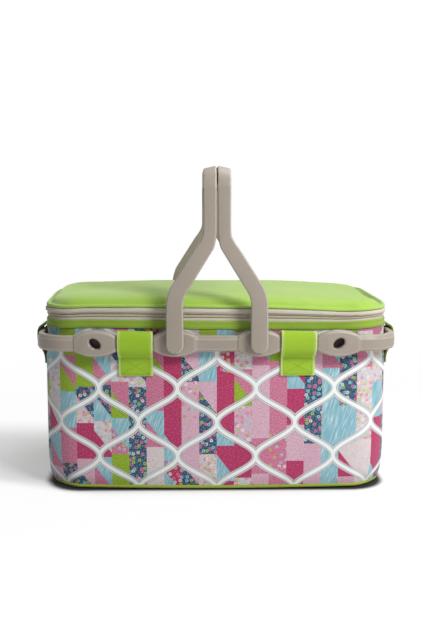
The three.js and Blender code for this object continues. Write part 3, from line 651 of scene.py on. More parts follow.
def printed_cloth():
    """Patchwork and weave under the trellis.

    away = |side - w - w cos(k v)| / (1 + (w k sin(k v))^2)^(1/2)."""
    material, wire, shader = new_finish("printed cloth", Sheen_Weight=0.15, Sheen_Roughness=0.5,
                                        Specular_IOR_Level=0.3)
    u, v, _ = wire.node("ShaderNodeTexCoord", output="UV").parts()
    weave = threads(u, v, 0.0011)
    u, v = u * 1000.0, v * 1000.0
    grain = mottle(vector(u, v, 0.0), 0.9)
    dyed = (grain.step(0.52, 0.3) * 0.2).mixed(patchwork(u, v), hue("55525A"))
    wave = v * (2 * math.pi / TRELLIS_RISE)
    swing = TRELLIS / 4
    slope = wave.fn("SINE") * (swing * 2 * math.pi / TRELLIS_RISE)
    sideways = abs(u.fn("PINGPONG", TRELLIS / 2) - swing - wave.fn("COSINE") * swing)
    away = sideways / (slope * slope + 1.0).fn("SQRT")
    lined = (away.step(4.6, 4.2) * 0.75).mixed(dyed, hue("D2D4D4"))
    edges = abs(away - 2.8).step(0.55, 0.2) * 0.7 + abs(away - 4.8).step(0.5, 0.15) * 0.6
    edged = edges.mixed(lined, hue("5F6973"))
    lead(shader, "Base Color", away.step(2.4, 2.0).mixed(edged, hue("DEE1DF")))
    lead(shader, "Roughness", 0.74 + 0.1 * grain)
    raise_grain(shader, weave, 0.4, 0.0002)
    return material


print_cloth = printed_cloth()
print("print:", len(print_cloth.node_tree.nodes), "nodes")

# %% [markdown]
# The wall is one lofted sheet. On the real bag the cloth is tucked in to the piping at the floor,
# fills a little in the middle, is pressed in behind the frame's bows, pulls in at the round corners
# near the floor, and is drawn out where a strap is sewn on. A cloth simulation would find folds of
# its own and not these, so they are added up as one distance from the plan. The foam behind uses
# the same sum and stays behind the cloth.

# %% How the wall swells
STRAP_X, END_STRAP_Y = 101.8, 57.3
STRAP_SEAM_Z, BOW_LOW_Z = 162.0, 166.0
CORNER_DRAW, END_DRAW, DRAW_TOP = 5.0, 2.0, 45.0
TUCK, BELLY, LEFT_BELLY, RIGHT_BELLY = 2.2, 1.3, 3.4, 2.6
TILT = 0.0115


def corner_pull(turn, height):
    """Near the floor the cloth draws in, 5 mm at the corners and 2 mm at the ends, up to 45 mm."""
    share = 1 - ramp(0, DRAW_TOP, height)
    at_corners = np.abs(np.sin(2 * turn)) ** 1.3
    return -(CORNER_DRAW * at_corners + END_DRAW * np.sin(turn) ** 4) * share


def wall_swell(way, height):
    """How far the cloth stands off the plan at [i, j], a sum of what pulls it and fills it.

    The bellies go with sin(pi z / RIM) on the long sides and |sin turn|^3 at the ends, the folds
    are crossing sine waves, and the pull of each sewn strap is exp(-d^2) about it."""
    x, y, turn = (a[:, None] for a in (way.xy[:, 0], way.xy[:, 1], way.turn))
    z = np.broadcast_to(height, (len(way.xy), np.shape(height)[-1]))
    side, end = ramp(100, 122, np.abs(y)), ramp(205, 214, np.abs(x))
    tuck = -TUCK * (1 - ramp(WALL_LOW, WALL_LOW + 14, z)) ** 1.5
    belly = BELLY * np.sin(math.pi * np.clip(z / RIM, 0, 1)) * (0.5 + 0.5 * np.cos(2 * turn))
    pressed = 1 - 0.42 * ramp(BOW_LOW_Z, BOW_LOW_Z + 12, z)
    belly = belly + np.where(x < 0, LEFT_BELLY, RIGHT_BELLY) * pressed * np.abs(np.sin(turn)) ** 3
    folds = 0.45 * np.sin(x / 27 + 1.1) * np.sin(z / 55 + 0.4) + 0.3 * np.sin(x / 13 - z / 31)
    from_strap, from_seam = (np.abs(x) - STRAP_X) / 24, (z - STRAP_SEAM_Z) / 15
    pulled = np.exp(-(from_strap**2) - from_seam**2) * side
    under_band = 1 - ramp(208, 213, z)
    drawn = 1.8 * ramp(200.5, 204, z) + 2.6 * ramp(201.5, 205.5, z) * under_band
    at_end_strap = np.exp(-(((np.abs(y) - END_STRAP_Y) / 24) ** 2)) * end
    tented = drawn * (0.3 + 0.7 * under_band) * at_end_strap
    calm = 1 - ramp(RIM - 26, RIM - 8, z)
    return tuck + (belly + folds * side * 0.8 + pulled) * calm + tented + corner_pull(turn, z)


def tilted(points):
    """The soft front edge is out of level: TILT x lower, so it drops on the right and rises left.

    The drop fades out towards the ends, the back and the bar."""
    x, y, z = np.moveaxis(points, -1, 0)
    drop = TILT * x * (1 - ramp(150, 205, np.abs(x))) * ramp(60, 120, -y) * ramp(198, 210, z)
    return points - drop[..., None] * [0, 0, 1]


print("belly at the middle of the front:", BELLY, "mm")

# %% [markdown]
# The sheet has a thickness, so its section goes up the outside and down the inside. The inside is
# never seen and takes half as many rows. The UV map is the distance round the bag by the height,
# which is how the print lay on the flat cloth.

# %% The printed wall
CLOTH = 1.2
way = track(540)
tuck_top = WALL_LOW + 26
heights = np.concatenate([np.linspace(WALL_LOW, tuck_top, 16)[:-1],
                          np.linspace(tuck_top, WALL_TOP, 44)])
inside = heights[::-2]
out = np.concatenate([np.zeros(len(heights)), np.full(len(inside), -CLOTH)])
high = np.concatenate([heights, inside])
wall_points = tilted(along_plan(way, out + wall_swell(way, high), high))
wall_u, wall_v = np.append(way.run, AROUND), np.append(high, high[0])
wall_uv = np.stack(np.meshgrid(wall_u, wall_v, indexing="ij"), 2) * MM
printed_wall = piece("printed_wall", [shell(wall_points, (True, True), uv=wall_uv)], print_cloth,
                     "bag", ["outer_wall"], sharp=60)

# %% [markdown]
# Stitches are modelled, because they catch the light along every sewn edge. They could be a bump in
# the finish, but then they would vanish at the outline. One stitch is a short capsule that dives
# into the cloth at both ends, and a row of them is the same small grid set down many times along a
# path.


# %% Stitches
def stitch_rows(paths, ups, length, gap, thick):
    """Capsules along polylines, a from -1 to 1 along each: tangent a L/2, radius (1 - a^2)^(1/2).

    Each dips into the cloth with a^2."""
    a = np.array([-0.98, -0.75, 0.0, 0.75, 0.98])
    t = np.arange(6) * math.pi / 3
    radius = thick * np.sqrt(1 - a**2)
    along = (a * length / 2)[:, None, None]
    around = (radius[:, None] * np.cos(t))[..., None]
    dip = thick * 0.35 - (thick * 0.9 * a**2)[:, None]
    raised = (radius[:, None] * np.sin(t) + dip)[..., None]
    grids = []
    for path, up in zip(paths, ups):
        count = max(int(length_of(path)[-1] / (length + gap)), 1)
        both = np.concatenate([path, np.broadcast_to(up, path.shape)], 1)
        ends = spread(both, 2 * count + 1)
        centre, lift = ends[1::2, :3], ends[1::2, 3:]
        ahead = unit(ends[2::2, :3] - ends[0:-1:2, :3])
        beside = np.cross(lift, ahead)
        centre, ahead, beside, lift = (v[:, None, None] for v in (centre, ahead, beside, lift))
        grids.append(centre + ahead * along + beside * around + lift * raised)
    return [shell(np.concatenate(grids))]


def plan_row(way, out, height):
    """A path round the plan at one distance outwards and one height, with its directions out."""
    line = tilted(along_plan(way, np.array([[out]]), np.array([[height]]))[:, 0])
    return line, np.concatenate([way.out, np.zeros((len(way.out), 1))], 1)


# %% [markdown]
# The rim band is a folded strip of green cloth sewn over the top edge of the wall. It could be the
# wall's own top rows in another colour, but the fold below throws a small shadow that a colour
# can't give. So its section is a flat loop, a little fuller at the fold, that follows the wall
# where an end strap draws it out. A row of stitches runs along each edge, in a thread coloured dark
# as painted shade of the stitch holes.

# %% The rim band
band_middle = (BAND_LOW + RIM) / 2
band_line = rounded([[0.35, BAND_LOW], [1.75, BAND_LOW - 0.2], [1.55, band_middle], [1.5, RIM],
                     [0.35, RIM]], 0.6)
ripple = 0.22 * np.sin(way.run / 9.1)[:, None] * np.sin(way.run / 37.0)[:, None]
tent = wall_swell(way, np.array([[BAND_LOW]])) - corner_pull(way.turn, BAND_LOW)[:, None]
low_share = 1 - ramp(BAND_LOW, BAND_LOW + 6, band_line[:, 1])
band = carried(way, band_line, (ripple + np.maximum(tent, 0)) * low_share)
piece("rim_binding", [shell(tilted(band), (True, True))], band_green, "bag", ["rim_band"])
rows = [plan_row(way, 1.72, BAND_LOW + 1.6), plan_row(way, 1.56, RIM - 2.6)]
piece("rim_stitches", stitch_rows(*zip(*rows), 2.4, 1.1, 0.4), shade_dark_thread, "bag")

# %% [markdown]
# The zip has a woven tape on each side and a nylon coil between them. A coil is a wire wound in a
# long helix, so it is made as one: a tube round a spiral that follows the plan. A ring copied many
# times along a curve would show joints. The two coils are half a turn apart, as they are when the
# zip is closed, and each tape is folded back behind them, so no light comes through the chain. The
# soft lid hangs at its ends, and the zip takes that up.

# %% Zip tapes and coils
HINGE_GAP = 300.0
SAG_RIGHT, SAG_LEFT, SAG_OVER = 4.2, 1.6, 14.0


def hung(points):
    """Tilted points, with the lid hanging at its ends by a share that grows from the rim up."""
    x, z = points[..., 0], points[..., 2]
    sag = SAG_RIGHT * ramp(60, 200, x) + SAG_LEFT * ramp(60, 200, -x)
    moved = tilted(points)
    moved[..., 2] -= sag * np.clip((z - RIM + 1) / SAG_OVER, 0, 1)
    return moved


def coil_finish():
    """Nylon wire: satin, with a faint drift of colour along it."""
    material, wire, shader = new_finish("nylon coil", Specular_IOR_Level=0.5)
    drift = mottle(on_object(wire), 160.0)
    lead(shader, "Base Color", drift.mixed(hue("CCC2A2"), hue("E2D8BA")))
    lead(shader, "Roughness", 0.38 + 0.2 * drift)
    return material


def coil(way, centre, phase, half=0.5, deep=0.55, pitch=1.6, wire=0.37):
    """Tube of the wire's radius round (deep cos t out, half sin t up), a turn for each pitch."""
    points_per_turn, sides = 10, 5
    count = int(int(way.run[-1] - way.run[0]) / pitch * points_per_turn)
    at = np.linspace(way.run[0], way.run[-1], count)
    t = at / pitch * 2 * math.pi + phase
    x, y, out_x, out_y = (np.interp(at, way.run, v) for v in (*way.xy.T, *way.out.T))
    out = 0.3 + deep * np.cos(t)
    path = np.stack([x + out_x * out, y + out_y * out, centre + half * np.sin(t)], 1)
    outward = np.stack([np.cos(t) * out_x, np.cos(t) * out_y, np.sin(t)], 1)
    beside = np.cross(unit(np.gradient(path, axis=0)), outward)
    ring = (np.arange(sides) * 2 * math.pi / sides)[None, :, None]
    offset = np.cos(ring) * outward[:, None] + np.sin(ring) * beside[:, None]
    return shell(hung(path[:, None] + wire * offset))


zip_way, nylon = track(420, HINGE_GAP), coil_finish()
tape_low, tape_high = heights_of("zip_tape_lower")
upper_low, upper_high = heights_of("zip_tape_upper")
zip_middle = (heights_of("zip_coil_lower")[1] + heights_of("zip_coil_upper")[0]) / 2
lower_line = rounded([[-0.8, tape_low], [0, tape_low], [0, tape_high - 1.1],
                      [-1.8, tape_high - 0.8], [-1.8, zip_middle - 0.3], [-2.6, zip_middle - 0.3],
                      [-2.6, tape_high - 1.5], [-0.8, tape_high - 1.9]], 0.25, 2)
upper_line = rounded([[-2.6, zip_middle + 0.1], [-1.8, zip_middle + 0.1], [-1.8, upper_low - 0.9],
                      [0.95, upper_low - 0.7], [1.0, upper_high], [-2.6, upper_high]], 0.22, 2)
piece("zip_tape_low", [shell(hung(carried(zip_way, lower_line)))], taupe_tape, "bag",
      ["zip_tape_lower"])
piece("zip_tape_high", [shell(hung(carried(zip_way, upper_line)))], taupe_tape, "lid",
      ["zip_tape_upper"])
piece("zip_coil_low", [coil(zip_way, zip_middle - 1.15, 0.0)], nylon, "bag", ["zip_coil_lower"])
piece("zip_coil_high", [coil(zip_way, zip_middle - 0.25, math.pi)], nylon, "lid",
      ["zip_coil_upper"])

# %% [markdown]
# Pipings are cords wrapped in cloth. The lid's is thick, flattened by its seam, and stands proud of
# the zip. The one at the floor is thin and follows the corners where the wall draws in. A curve
# with a bevel would be too even, so a soft waver keeps the lid's from looking like drawn wire.

# %% Pipings
CORD, CORD_BOXY, BASE_CORD = 2.75, 3.2, 2.2
piping_low, piping_high = corners("lid_piping")
piping_z, piping_out = (piping_low[2] + piping_high[2]) / 2, piping_high[0] - HALF_LENGTH - 3.0
cord_ring = tube_section(piping_out, piping_z - 0.6, CORD, 24, CORD_BOXY)
waver = (0.12 * np.sin(way.run / 17.0) + 0.1 * np.sin(way.run / 41.0 + 1.0))[:, None]
cord = carried(way, cord_ring, waver, waver[::-1] * 0.5)
piece("lid_cord", [shell(hung(cord), (True, True))], taupe_tape, "lid", ["lid_piping"])
base_ring = tube_section(-2.7, 3.3, BASE_CORD, 12)
base_cord = carried(way, base_ring, corner_pull(way.turn, WALL_LOW)[:, None])
piece("base_cord", [shell(base_cord, (True, True))], base_green, "bag", ["base_piping"])

# %% [markdown]
# The lid is a foam pad in a cloth cover. A rolled rim runs round its edge, a sewn groove lies just
# inside it, and from there the cloth swells up to a low crown. A sculpted cushion would do, but it
# could not be changed later. So the section near the edge is drawn as a soft polyline, the crown
# shrinks the plan ring by ring, small puckers gather along the groove, and the soft pad is lifted
# at its left end and slumps at its right end.

# %% The lid pad
CROWN_START = -26.0
LID_SLUMP, RIM_LIFT, LEFT_LIFT = 3.8, 3.2, 6.2
PUCKER, GROOVE = 0.32, -7.0


def lid_waves(x, y, out):
    """Puckers exp(-((out + 7) / 4)^2) sin along the groove, broad dents over the top, and sag.

    The right end slumps inside its rim, the rim there is lifted, and so is the whole left end."""
    spin = np.arctan2(y / HALF_DEPTH, x / HALF_LENGTH)
    gather = np.sin(spin * 71 + 2 * np.sin(spin * 9)) * (0.6 + 0.4 * np.sin(spin * 23 + 1))
    puckers = PUCKER * gather * np.exp(-(((out - GROOVE) / 4.0) ** 2))
    dents = 0.7 * np.sin(x / 61 + 0.6) * np.sin(y / 43 + 0.9) + 0.4 * np.sin(x / 33 - y / 47)
    slump = LID_SLUMP * ramp(140, 205, x) * np.exp(-((y / 78) ** 4)) * ramp(1.5, 6.5, -out)
    at_rim = np.exp(-(((out + 0.5) / 3.2) ** 2))
    lifted = RIM_LIFT * ramp(150, 200, x) * ramp(-115, -60, y) * at_rim
    lifted = lifted + LEFT_LIFT * ramp(165, 208, -x) * np.exp(-(((y - 5) / 75) ** 2))
    return puckers + dents * ramp(6, 40, -out) - slump + lifted


def discs(ring, scale, height):
    """A ring of (x, y) shrunk towards the middle by each scale, at one height or one for each."""
    flat = ring[:, None] * scale[:, None]
    return np.concatenate([flat, np.broadcast_to(height, flat.shape[:2])[..., None]], 2)


lid_way = track(480)
edge = spread(softened([
    [-3.0, heights_of("lid_foam")[0] + 0.2], [-2.9, 233.4], [-1.0, 233.9], [1.2, 234.2],
    [2.1, 235.6], [1.2, 237.7], [-1.6, 238.3], [-3.8, 236.8], [-5.4, 238.8], [-8.6, 242.6],
    [-14.0, 245.6], [CROWN_START, 247.4],
]), 56)
shrink = np.linspace(1, 0.02, 40)[1:]
crown = edge[-1, 1] + (heights_of("lid_cover")[1] + 0.4 - edge[-1, 1]) * (1 - shrink**5)
near = carried(lid_way, edge)
below, far = discs(near[:, 0, :2], shrink[::-1], edge[0, 1]), discs(near[:, -1, :2], shrink, crown)
pad = np.concatenate([below, near, far], 1)
inwards = np.full(len(shrink), CROWN_START)
waves = lid_waves(pad[..., 0], pad[..., 1], np.concatenate([inwards, edge[:, 0], inwards]))
pad[..., 2] += waves * ramp(235, 238, pad[..., 2])
pad_uv = np.concatenate([pad, pad[:1]], 0)[..., :2].transpose(1, 0, 2) * MM
lid_pad = piece("lid_pad", [shell(hung(pad).transpose(1, 0, 2), uv=pad_uv)], lid_green, "lid",
                ["lid_cover", "lid_foam"], sharp=70)

# %% [markdown]
# A strap is a length of webbing: a flat section with rounded edges, carried along a path. The side
# straps go up the wall, behind the frame bar, over it and down again, and both layers are sewn to
# the wall below with a boxed cross. The path is drawn as a soft polyline, because a strap pulled
# tight goes just where it is led.

# %% Side straps
BAR_Z = sum(heights_of("frame_front_middle")) / 2
STRAP_WIDE = corners("strap_front_left")[1][0] - corners("strap_front_left")[0][0]
WEB, RIB, RIB_PITCH = 1.7, 0.0192, 4.1


def side_depth(x):
    """Depth of the wall's cloth at a place along a long side: b + (R^2 - x^2)^(1/2)."""
    return HALF_DEPTH - BOW_RADIUS + np.sqrt(BOW_RADIUS**2 - x**2)


def normals(path):
    """Directions to the right of a flat path."""
    ahead = unit(np.gradient(path, axis=0))
    return np.stack([ahead[:, 1], -ahead[:, 0]], 1)


def webbing(path, thick):
    """Rounded flat section carried along path[i] = (outwards, height).

    Gives how far across each point j is, its place[i, j], and 1 on the edges, where an edge colour
    is painted: a highlight on the side straps, shade on the end straps. Fine ribs run along the
    webbing."""
    wide = STRAP_WIDE / 2
    flat = rounded([[-wide, -thick / 2], [wide, -thick / 2], [wide, thick / 2], [-wide, thick / 2]],
                   thick * 0.45, 3)
    lower, upper = (spread(flat[[k, k + 1]], 12)[1:-1] for k in (3, 11))
    flat = np.concatenate([flat[:4], lower, flat[4:12], upper, flat[12:]])
    across = flat[:, 0]
    raised = flat[:, 1] + RIB * np.sin(across * 2 * math.pi / RIB_PITCH)
    place = path[:, None] + normals(path)[:, None] * raised[None, :, None]
    return across, place, ramp(wide - 1.5, wide - 0.6, np.abs(across))


SIDE_WALL = side_depth(STRAP_X) + 0.9
side_path = spread(softened([
    [SIDE_WALL + 0.7, 149.2], [SIDE_WALL + 0.7, 165.0], [SIDE_WALL + 0.8, 172.0], [132.6, 177.0],
    [135.7, 184.0], [135.7, 199.0], [135.6, 204.9], [140.6, 206.6], [145.3, 205.0],
    [148.0, 199.6], [148.8, 193.6], [148.3, 188.2], [147.0, 183.6], [143.6, 179.0],
    [138.4, 175.4], [SIDE_WALL + 3.5, 172.6], [SIDE_WALL + 2.5, 168.0], [SIDE_WALL + 2.5, 148.9],
]), 120)


def wall_bow(x, height):
    """How far the bowed wall moves a strap that lies on it, fading out up towards the bar."""
    return (side_depth(x) - side_depth(STRAP_X)) * (1 - ramp(170, 184, height))


def side_strap(centre_x, way_y):
    """A side strap about x = centre_x on the side of way_y, a little wider over the bar."""
    across, place, painted_edge_mask = webbing(side_path, WEB)
    height = side_path[:, 1][:, None]
    x = centre_x + across * (1 + 0.012 * ramp(172, 186, height))
    sag = 0.5 * np.sin(across / STRAP_WIDE * math.pi) * ramp(180, 204, height)
    y = way_y * (place[..., 0] + wall_bow(x, height))
    return shell(np.stack([x, y, place[..., 1] - sag], 2), wear_and_edge_shade=painted_edge_mask)


print("strap", round(STRAP_WIDE, 1), "mm wide, path", round(length_of(side_path)[-1]), "mm long")

# %% [markdown]
# The seams on a strap hold the whole load, so they are worth showing: a box with a cross in it over
# both layers, and a line along each edge that runs up over the bar. The lines are drawn flat, and
# their depth is then read off the strap's own path.

# %% Seams of the side straps
BOX_LOW, BOX_HIGH, BOX_HALF, EDGE_SEAM_LOW = 151.0, 171.0, 18.0, 175.5


def boxed_cross(centre_x, way_y):
    """Stitch lines of a sewn box with a cross in it, and of the edges that run up over the bar."""
    low_left, high_left = [-BOX_HALF, BOX_LOW], [-BOX_HALF, BOX_HIGH]
    low_right, high_right = [BOX_HALF, BOX_LOW], [BOX_HALF, BOX_HIGH]
    lines = [[low_left, low_right, high_right, high_left, low_left],
             [low_left, high_right], [low_right, high_left]]
    down = side_path[side_path[:, 1].argmax() + 3:]
    front = down[down[:, 1] > EDGE_SEAM_LOW, 1]
    seam_x = STRAP_WIDE / 2 - 2.4
    lines += [np.stack([np.full(len(front), k * seam_x), front], 1) for k in (-1, 1)]
    paths = []
    for line in lines:
        line = spread(line, max(int(length_of(line)[-1]), 8))
        x, z = centre_x + line[:, 0], line[:, 1]
        depth = np.interp(z, down[::-1, 1], down[::-1, 0]) + wall_bow(x, z) + WEB / 2
        paths.append(np.stack([x, way_y * depth, z], 1))
    return paths, [np.array([[0.0, way_y, 0.0]])] * len(paths)


for face, sy in (("front", -1), ("back", 1)):
    for side, sx in (("left", -1), ("right", 1)):
        name = f"{face}_{side}"
        piece(f"webbing_{name}", [side_strap(sx * STRAP_X, sy)], strap_green, "bag",
              [f"strap_{name}"])
        seams = stitch_rows(*boxed_cross(sx * STRAP_X, sy), 2.3, 0.9, 0.4)
        piece(f"webbing_stitches_{name}", seams, shade_dark_seam_thread, "bag")

# %% [markdown]
# The end straps are a thicker webbing. Each leaves the wall under the rim band, passes once over
# the bar of the bow and is sewn to the wall below it. The side strap could be copied and turned,
# but it folds another way, so only its section function is used again, along a path of their own.

# %% End straps
BAR_THICK, BAR_HALF = 8.0, 10.0
END_IN = corners("frame_bow_right")[1][0] - BAR_THICK
END_WEB, END_SEAM = 2.4, 18.5
end_path = spread(softened([
    [HALF_LENGTH + 2.2, 210.5], [HALF_LENGTH + 3.2, 208.2], [HALF_LENGTH + 7.4, 205.6],
    [END_IN + 9.4, 204.0], [END_IN + 11.8, 199.0], [END_IN + 12.0, 190.0], [END_IN + 11.2, 182.0],
    [END_IN + 8.0, 176.6], [HALF_LENGTH + 6.6, 170.0], [HALF_LENGTH + 5.2, 163.0],
    [HALF_LENGTH + 4.9, 155.7],
]), 90)
end_tail = end_path[70:88]


def end_strap(sx, sy):
    """An end strap: the same section, carried over the bar of the bow."""
    across, place, painted_edge_mask = webbing(end_path, END_WEB)
    y = np.broadcast_to(sy * END_STRAP_Y + across, place.shape[:2])
    return shell(np.stack([sx * place[..., 0], y, place[..., 1]], 2), wear_and_edge_shade=painted_edge_mask)


def end_seams(sx, sy):
    """Two edge lines on the strap's sewn tail, and a cross between them."""
    x, z = sx * (end_tail[:, 0] + END_WEB / 2), end_tail[:, 1]
    one, two = (np.stack([x, np.full(len(x), sy * END_STRAP_Y + k * END_SEAM), z], 1)
                for k in (-1, 1))
    cross = [np.linspace(one[0], two[-1], 24), np.linspace(two[0], one[-1], 24)]
    return [one, two] + cross, [np.array([[float(sx), 0.0, 0.0]])] * 4


for side, sx in (("left", -1), ("right", 1)):
    for face, sy in (("front", -1), ("back", 1)):
        piece(f"webbing_end_{side}_{face}", [end_strap(sx, sy)], shade_dark_end_green, "bag",
              [f"strap_end_{side}_{face}"])
        seams = stitch_rows(*end_seams(sx, sy), 2.3, 0.9, 0.3)
        piece(f"end_stitches_{side}_{face}", seams, shade_dark_seam_thread, "bag")

# %% [markdown]
# Frame and handles are one moulded plastic: satin, with the fine spark-eroded grain that hides flow
# marks, a touch of drift in the colour, and edges polished a little by hands. Where the edges are
# is known when the mesh is made, so it is kept there as wear and read here.


# %% Moulded plastic
def moulded(name, code, shade):
    """Satin plastic: fine grain in the bump, drifting roughness, and edges rubbed lighter."""
    material, wire, shader = new_finish(name, Specular_IOR_Level=0.5)
    place = on_object(wire)
    drift, grain = mottle(place, 9.0), mottle(place, 1500.0, 2.0)
    rubbed = edges_worn_and_shaded(wire) * (0.6 + 0.8 * drift)
    body = drift.step(0.3, 0.7).mixed(hue(code), hue(shade))
    lead(shader, "Base Color", (rubbed * 0.35).mixed(body, hue("C2B9AC")))
    lead(shader, "Roughness", 0.4 + 0.14 * drift - 0.1 * rubbed)
    raise_grain(shader, grain, 0.25, 0.0001)
    return material


taupe = moulded("taupe plastic", "978D82", "8F8579")
# The socket plastic is dark as painted shade inside the spare holes.
shade_dark_socket_plastic = moulded("dark socket plastic", "4A3A33", "3C2F29")
print("plastics:", taupe.name, "and", shade_dark_socket_plastic.name)

# %% [markdown]
# The frame is plugged together from eight mouldings, each with a lens-shaped boss at one end. They
# could be cut and joined from blocks, but one sweep gives clean faces: the bar's six-sided section,
# with its broad bevel above and its narrow one below, follows the rail or the bow, and where the
# boss is the section grows tall and thick by a parabola.

# %% Mouldings of the ring frame
FRAME_IN_Y, FRAME_RADIUS = 137.3, 36.0
RAIL_END = END_IN - FRAME_RADIUS
PIVOT_X, OUTER_X = 52.1, 151.5
BOSS_HALF, BOSS_TALL, BOSS_THICK = 26.0, 16.5, 10.0
SEGMENT_GAP, FRAME_EDGE, FRAME_EDGE_STEPS = 0.3, 0.9, 4


def rail(x, y):
    """Points on a rail along the bag at one depth, and their outward directions."""
    return np.stack([x, np.full_like(x, y)], 1), np.tile([0.0, np.sign(y)], (len(x), 1))


def frame_path(start, stop):
    """The bar's inner face and outward directions: straight in front, or on round the right bow."""
    boss_end = start + 2 * BOSS_HALF
    if stop is not None:
        boss, bar = np.linspace(start, boss_end + 6, 60), np.linspace(boss_end + 6, stop, 8)
        return rail(np.unique(np.concatenate([boss, bar])), -FRAME_IN_Y)
    t = np.linspace(-math.pi / 2, 0, 22)
    turn = np.stack([np.cos(t), np.sin(t)], 1)
    bow = np.array([RAIL_END, FRAME_RADIUS - FRAME_IN_Y]) + FRAME_RADIUS * turn
    x = np.concatenate([np.linspace(start, boss_end + 4, 60), [RAIL_END - 0.4]])
    front, front_out = rail(x, -FRAME_IN_Y)
    back_x = np.linspace(RAIL_END - 1, OUTER_X + BOSS_HALF + SEGMENT_GAP, 4)
    back, back_out = rail(back_x, FRAME_IN_Y)
    path = np.concatenate([front, bow, bow[::-1] * [1, -1], back])
    return path, np.concatenate([front_out, turn, turn[::-1] * [1, -1], back_out])


def moulding(boss_x, stop):
    """Sections along the bar, q from -1 to 1 over the boss: tall = 10 + 6.5 (1 - q^2).

    The thickness is 8 mm and 2 mm more where the boss's share is 1."""
    path, out = frame_path(boss_x - BOSS_HALF, stop)
    straight = (path[:, 1] < 0) & (path[:, 0] < boss_x + BOSS_HALF + 6)
    q = np.where(straight, (path[:, 0] - boss_x) / BOSS_HALF, 2.0)
    share = np.clip(0.35 + 1.4 * (q + 1), 0, 1) * (1 - ramp(0.86, 1.1, q))
    share = np.where(straight, share, 0.0)
    tall = BAR_HALF + (BOSS_TALL - BAR_HALF) * np.clip(1 - q**2, 0, 1)
    thick = BAR_THICK + (BOSS_THICK - BAR_THICK) * share
    top_drop, top_in = 5.0 - 2.6 * share, 2.2 - 0.6 * share
    low_rise, low_in = 3.0 - 0.6 * share, 1.5 + 0.1 * share
    zero = np.zeros_like(tall)
    outwards = [zero, thick - low_in, thick, thick, thick - top_in, zero]
    upwards = [-tall, -tall, low_rise - tall, tall - top_drop, tall, tall]
    section = np.stack([np.stack(outwards, 1), np.stack(upwards, 1)], 2)
    ends = np.ones(len(path))
    ends[[0, -1]] = 0.97
    middle = section.mean(1, keepdims=True)
    section = middle + (section - middle) * ends[:, None, None]
    line = rounded(section, FRAME_EDGE, FRAME_EDGE_STEPS)
    flat = path[:, None] + out[:, None] * line[..., :1]
    return np.concatenate([flat, BAR_Z + line[..., 1:]], 2)


print("bosses", 2 * BOSS_HALF, "x", 2 * BOSS_TALL, "mm at", PIVOT_X, "and", OUTER_X)

# %% [markdown]
# Each boss has a hole. The four that carry the handles are round, and the four spare ones are
# leaning eyes with a blind socket behind, coloured dark brown as painted shade, so they look dark.
# A hole is cut through with a flared plug, so its lip is broken as a moulder would break it. The
# back of the frame is the front turned half round, so every piece is made twice from one grid.

# %% Holes, and the eight mouldings
EYE_LEAN, EYE_SIZE, ROUND_SIZE = 40, (8.1, 5.7), (6.5, 6.3)
PLUG_DEPTH, PLUG_GROW = [-3, 0.1, 1.7, 13], [3.4, 1.6, 0.0, 0.0]
SLEEVE_DEPTH = [16.6, 16.6, 16.2, 9.9, 9.9, 17.6, 18, 18]
SLEEVE_GROW = [-5.5, -0.5, 0.0, 0.0, 1.8, 1.8, 1.4, -5.5]
AS_MADE, HALF_TURN = np.array([1, 1, 1]), np.array([-1, -1, 1])
HOLE_SHARP = 28


def hole_rings(boss_x, depth, grow, count=40):
    """Rings (a cos t, b sin t), each grown, at depths behind the boss's face.

    A pivot's hole is round. A spare hole is a long eye whose outer end is turned upwards."""
    t = np.arange(count) * 2 * math.pi / count
    spare = abs(boss_x) == OUTER_X
    wide, tall = EYE_SIZE if spare else ROUND_SIZE
    lean = math.radians(EYE_LEAN) * np.sign(boss_x) * spare
    grow = np.array(grow)[:, None]
    u, w = (wide + grow) * np.cos(t), (tall + grow) * np.sin(t)
    x = u * math.cos(lean) - w * math.sin(lean)
    z = u * math.sin(lean) + w * math.cos(lean)
    y = np.broadcast_to((np.array(depth) - FRAME_IN_Y - BOSS_THICK)[:, None], x.shape)
    return np.stack([boss_x + x, y, BAR_Z + z], 2)


def cut(thing, plug):
    """Takes a plug out of a piece for good."""
    cutter = added("plug", mesh_of("plug", [plug]))
    change = thing.modifiers.new("hole", "BOOLEAN")
    change.object, change.operation, change.solver = cutter, "DIFFERENCE", "EXACT"
    seen = thing.evaluated_get(bpy.context.evaluated_depsgraph_get())
    mesh = bpy.data.meshes.new_from_object(seen)
    thing.modifiers.clear()
    thing.data = mesh
    thing.data.shade_smooth()
    thing.data.set_sharp_from_angle(angle=math.radians(HOLE_SHARP))
    bpy.data.objects.remove(cutter)


segments = [("front_left", "back_right", -OUTER_X, -PIVOT_X),
            ("front_middle", "back_middle", -PIVOT_X, PIVOT_X),
            ("front_right", "back_left", PIVOT_X, OUTER_X),
            ("bow_right", "bow_left", OUTER_X, None)]
edge_wear = np.tile(np.sin(np.linspace(0, math.pi, FRAME_EDGE_STEPS + 1)), 6)
for label, opposite, boss_x, next_x in segments:
    stop = None if next_x is None else next_x - BOSS_HALF - SEGMENT_GAP
    points = moulding(boss_x, stop)
    plug = hole_rings(boss_x, PLUG_DEPTH, PLUG_GROW)
    sleeve = hole_rings(boss_x, SLEEVE_DEPTH, SLEEVE_GROW)
    for name, turn in ((label, AS_MADE), (opposite, HALF_TURN)):
        part = piece(f"moulding_{name}", [shell(points * turn, wear_and_edge_shade=edge_wear)], taupe, "bag",
                     [f"frame_{name}"])
        cut(part, shell(plug * turn))
        if abs(boss_x) == OUTER_X:
            # The socket is dark plastic, painted shade in the spare hole.
            piece(f"socket_{name}", [shell(sleeve * turn)], shade_dark_socket_plastic, "bag")

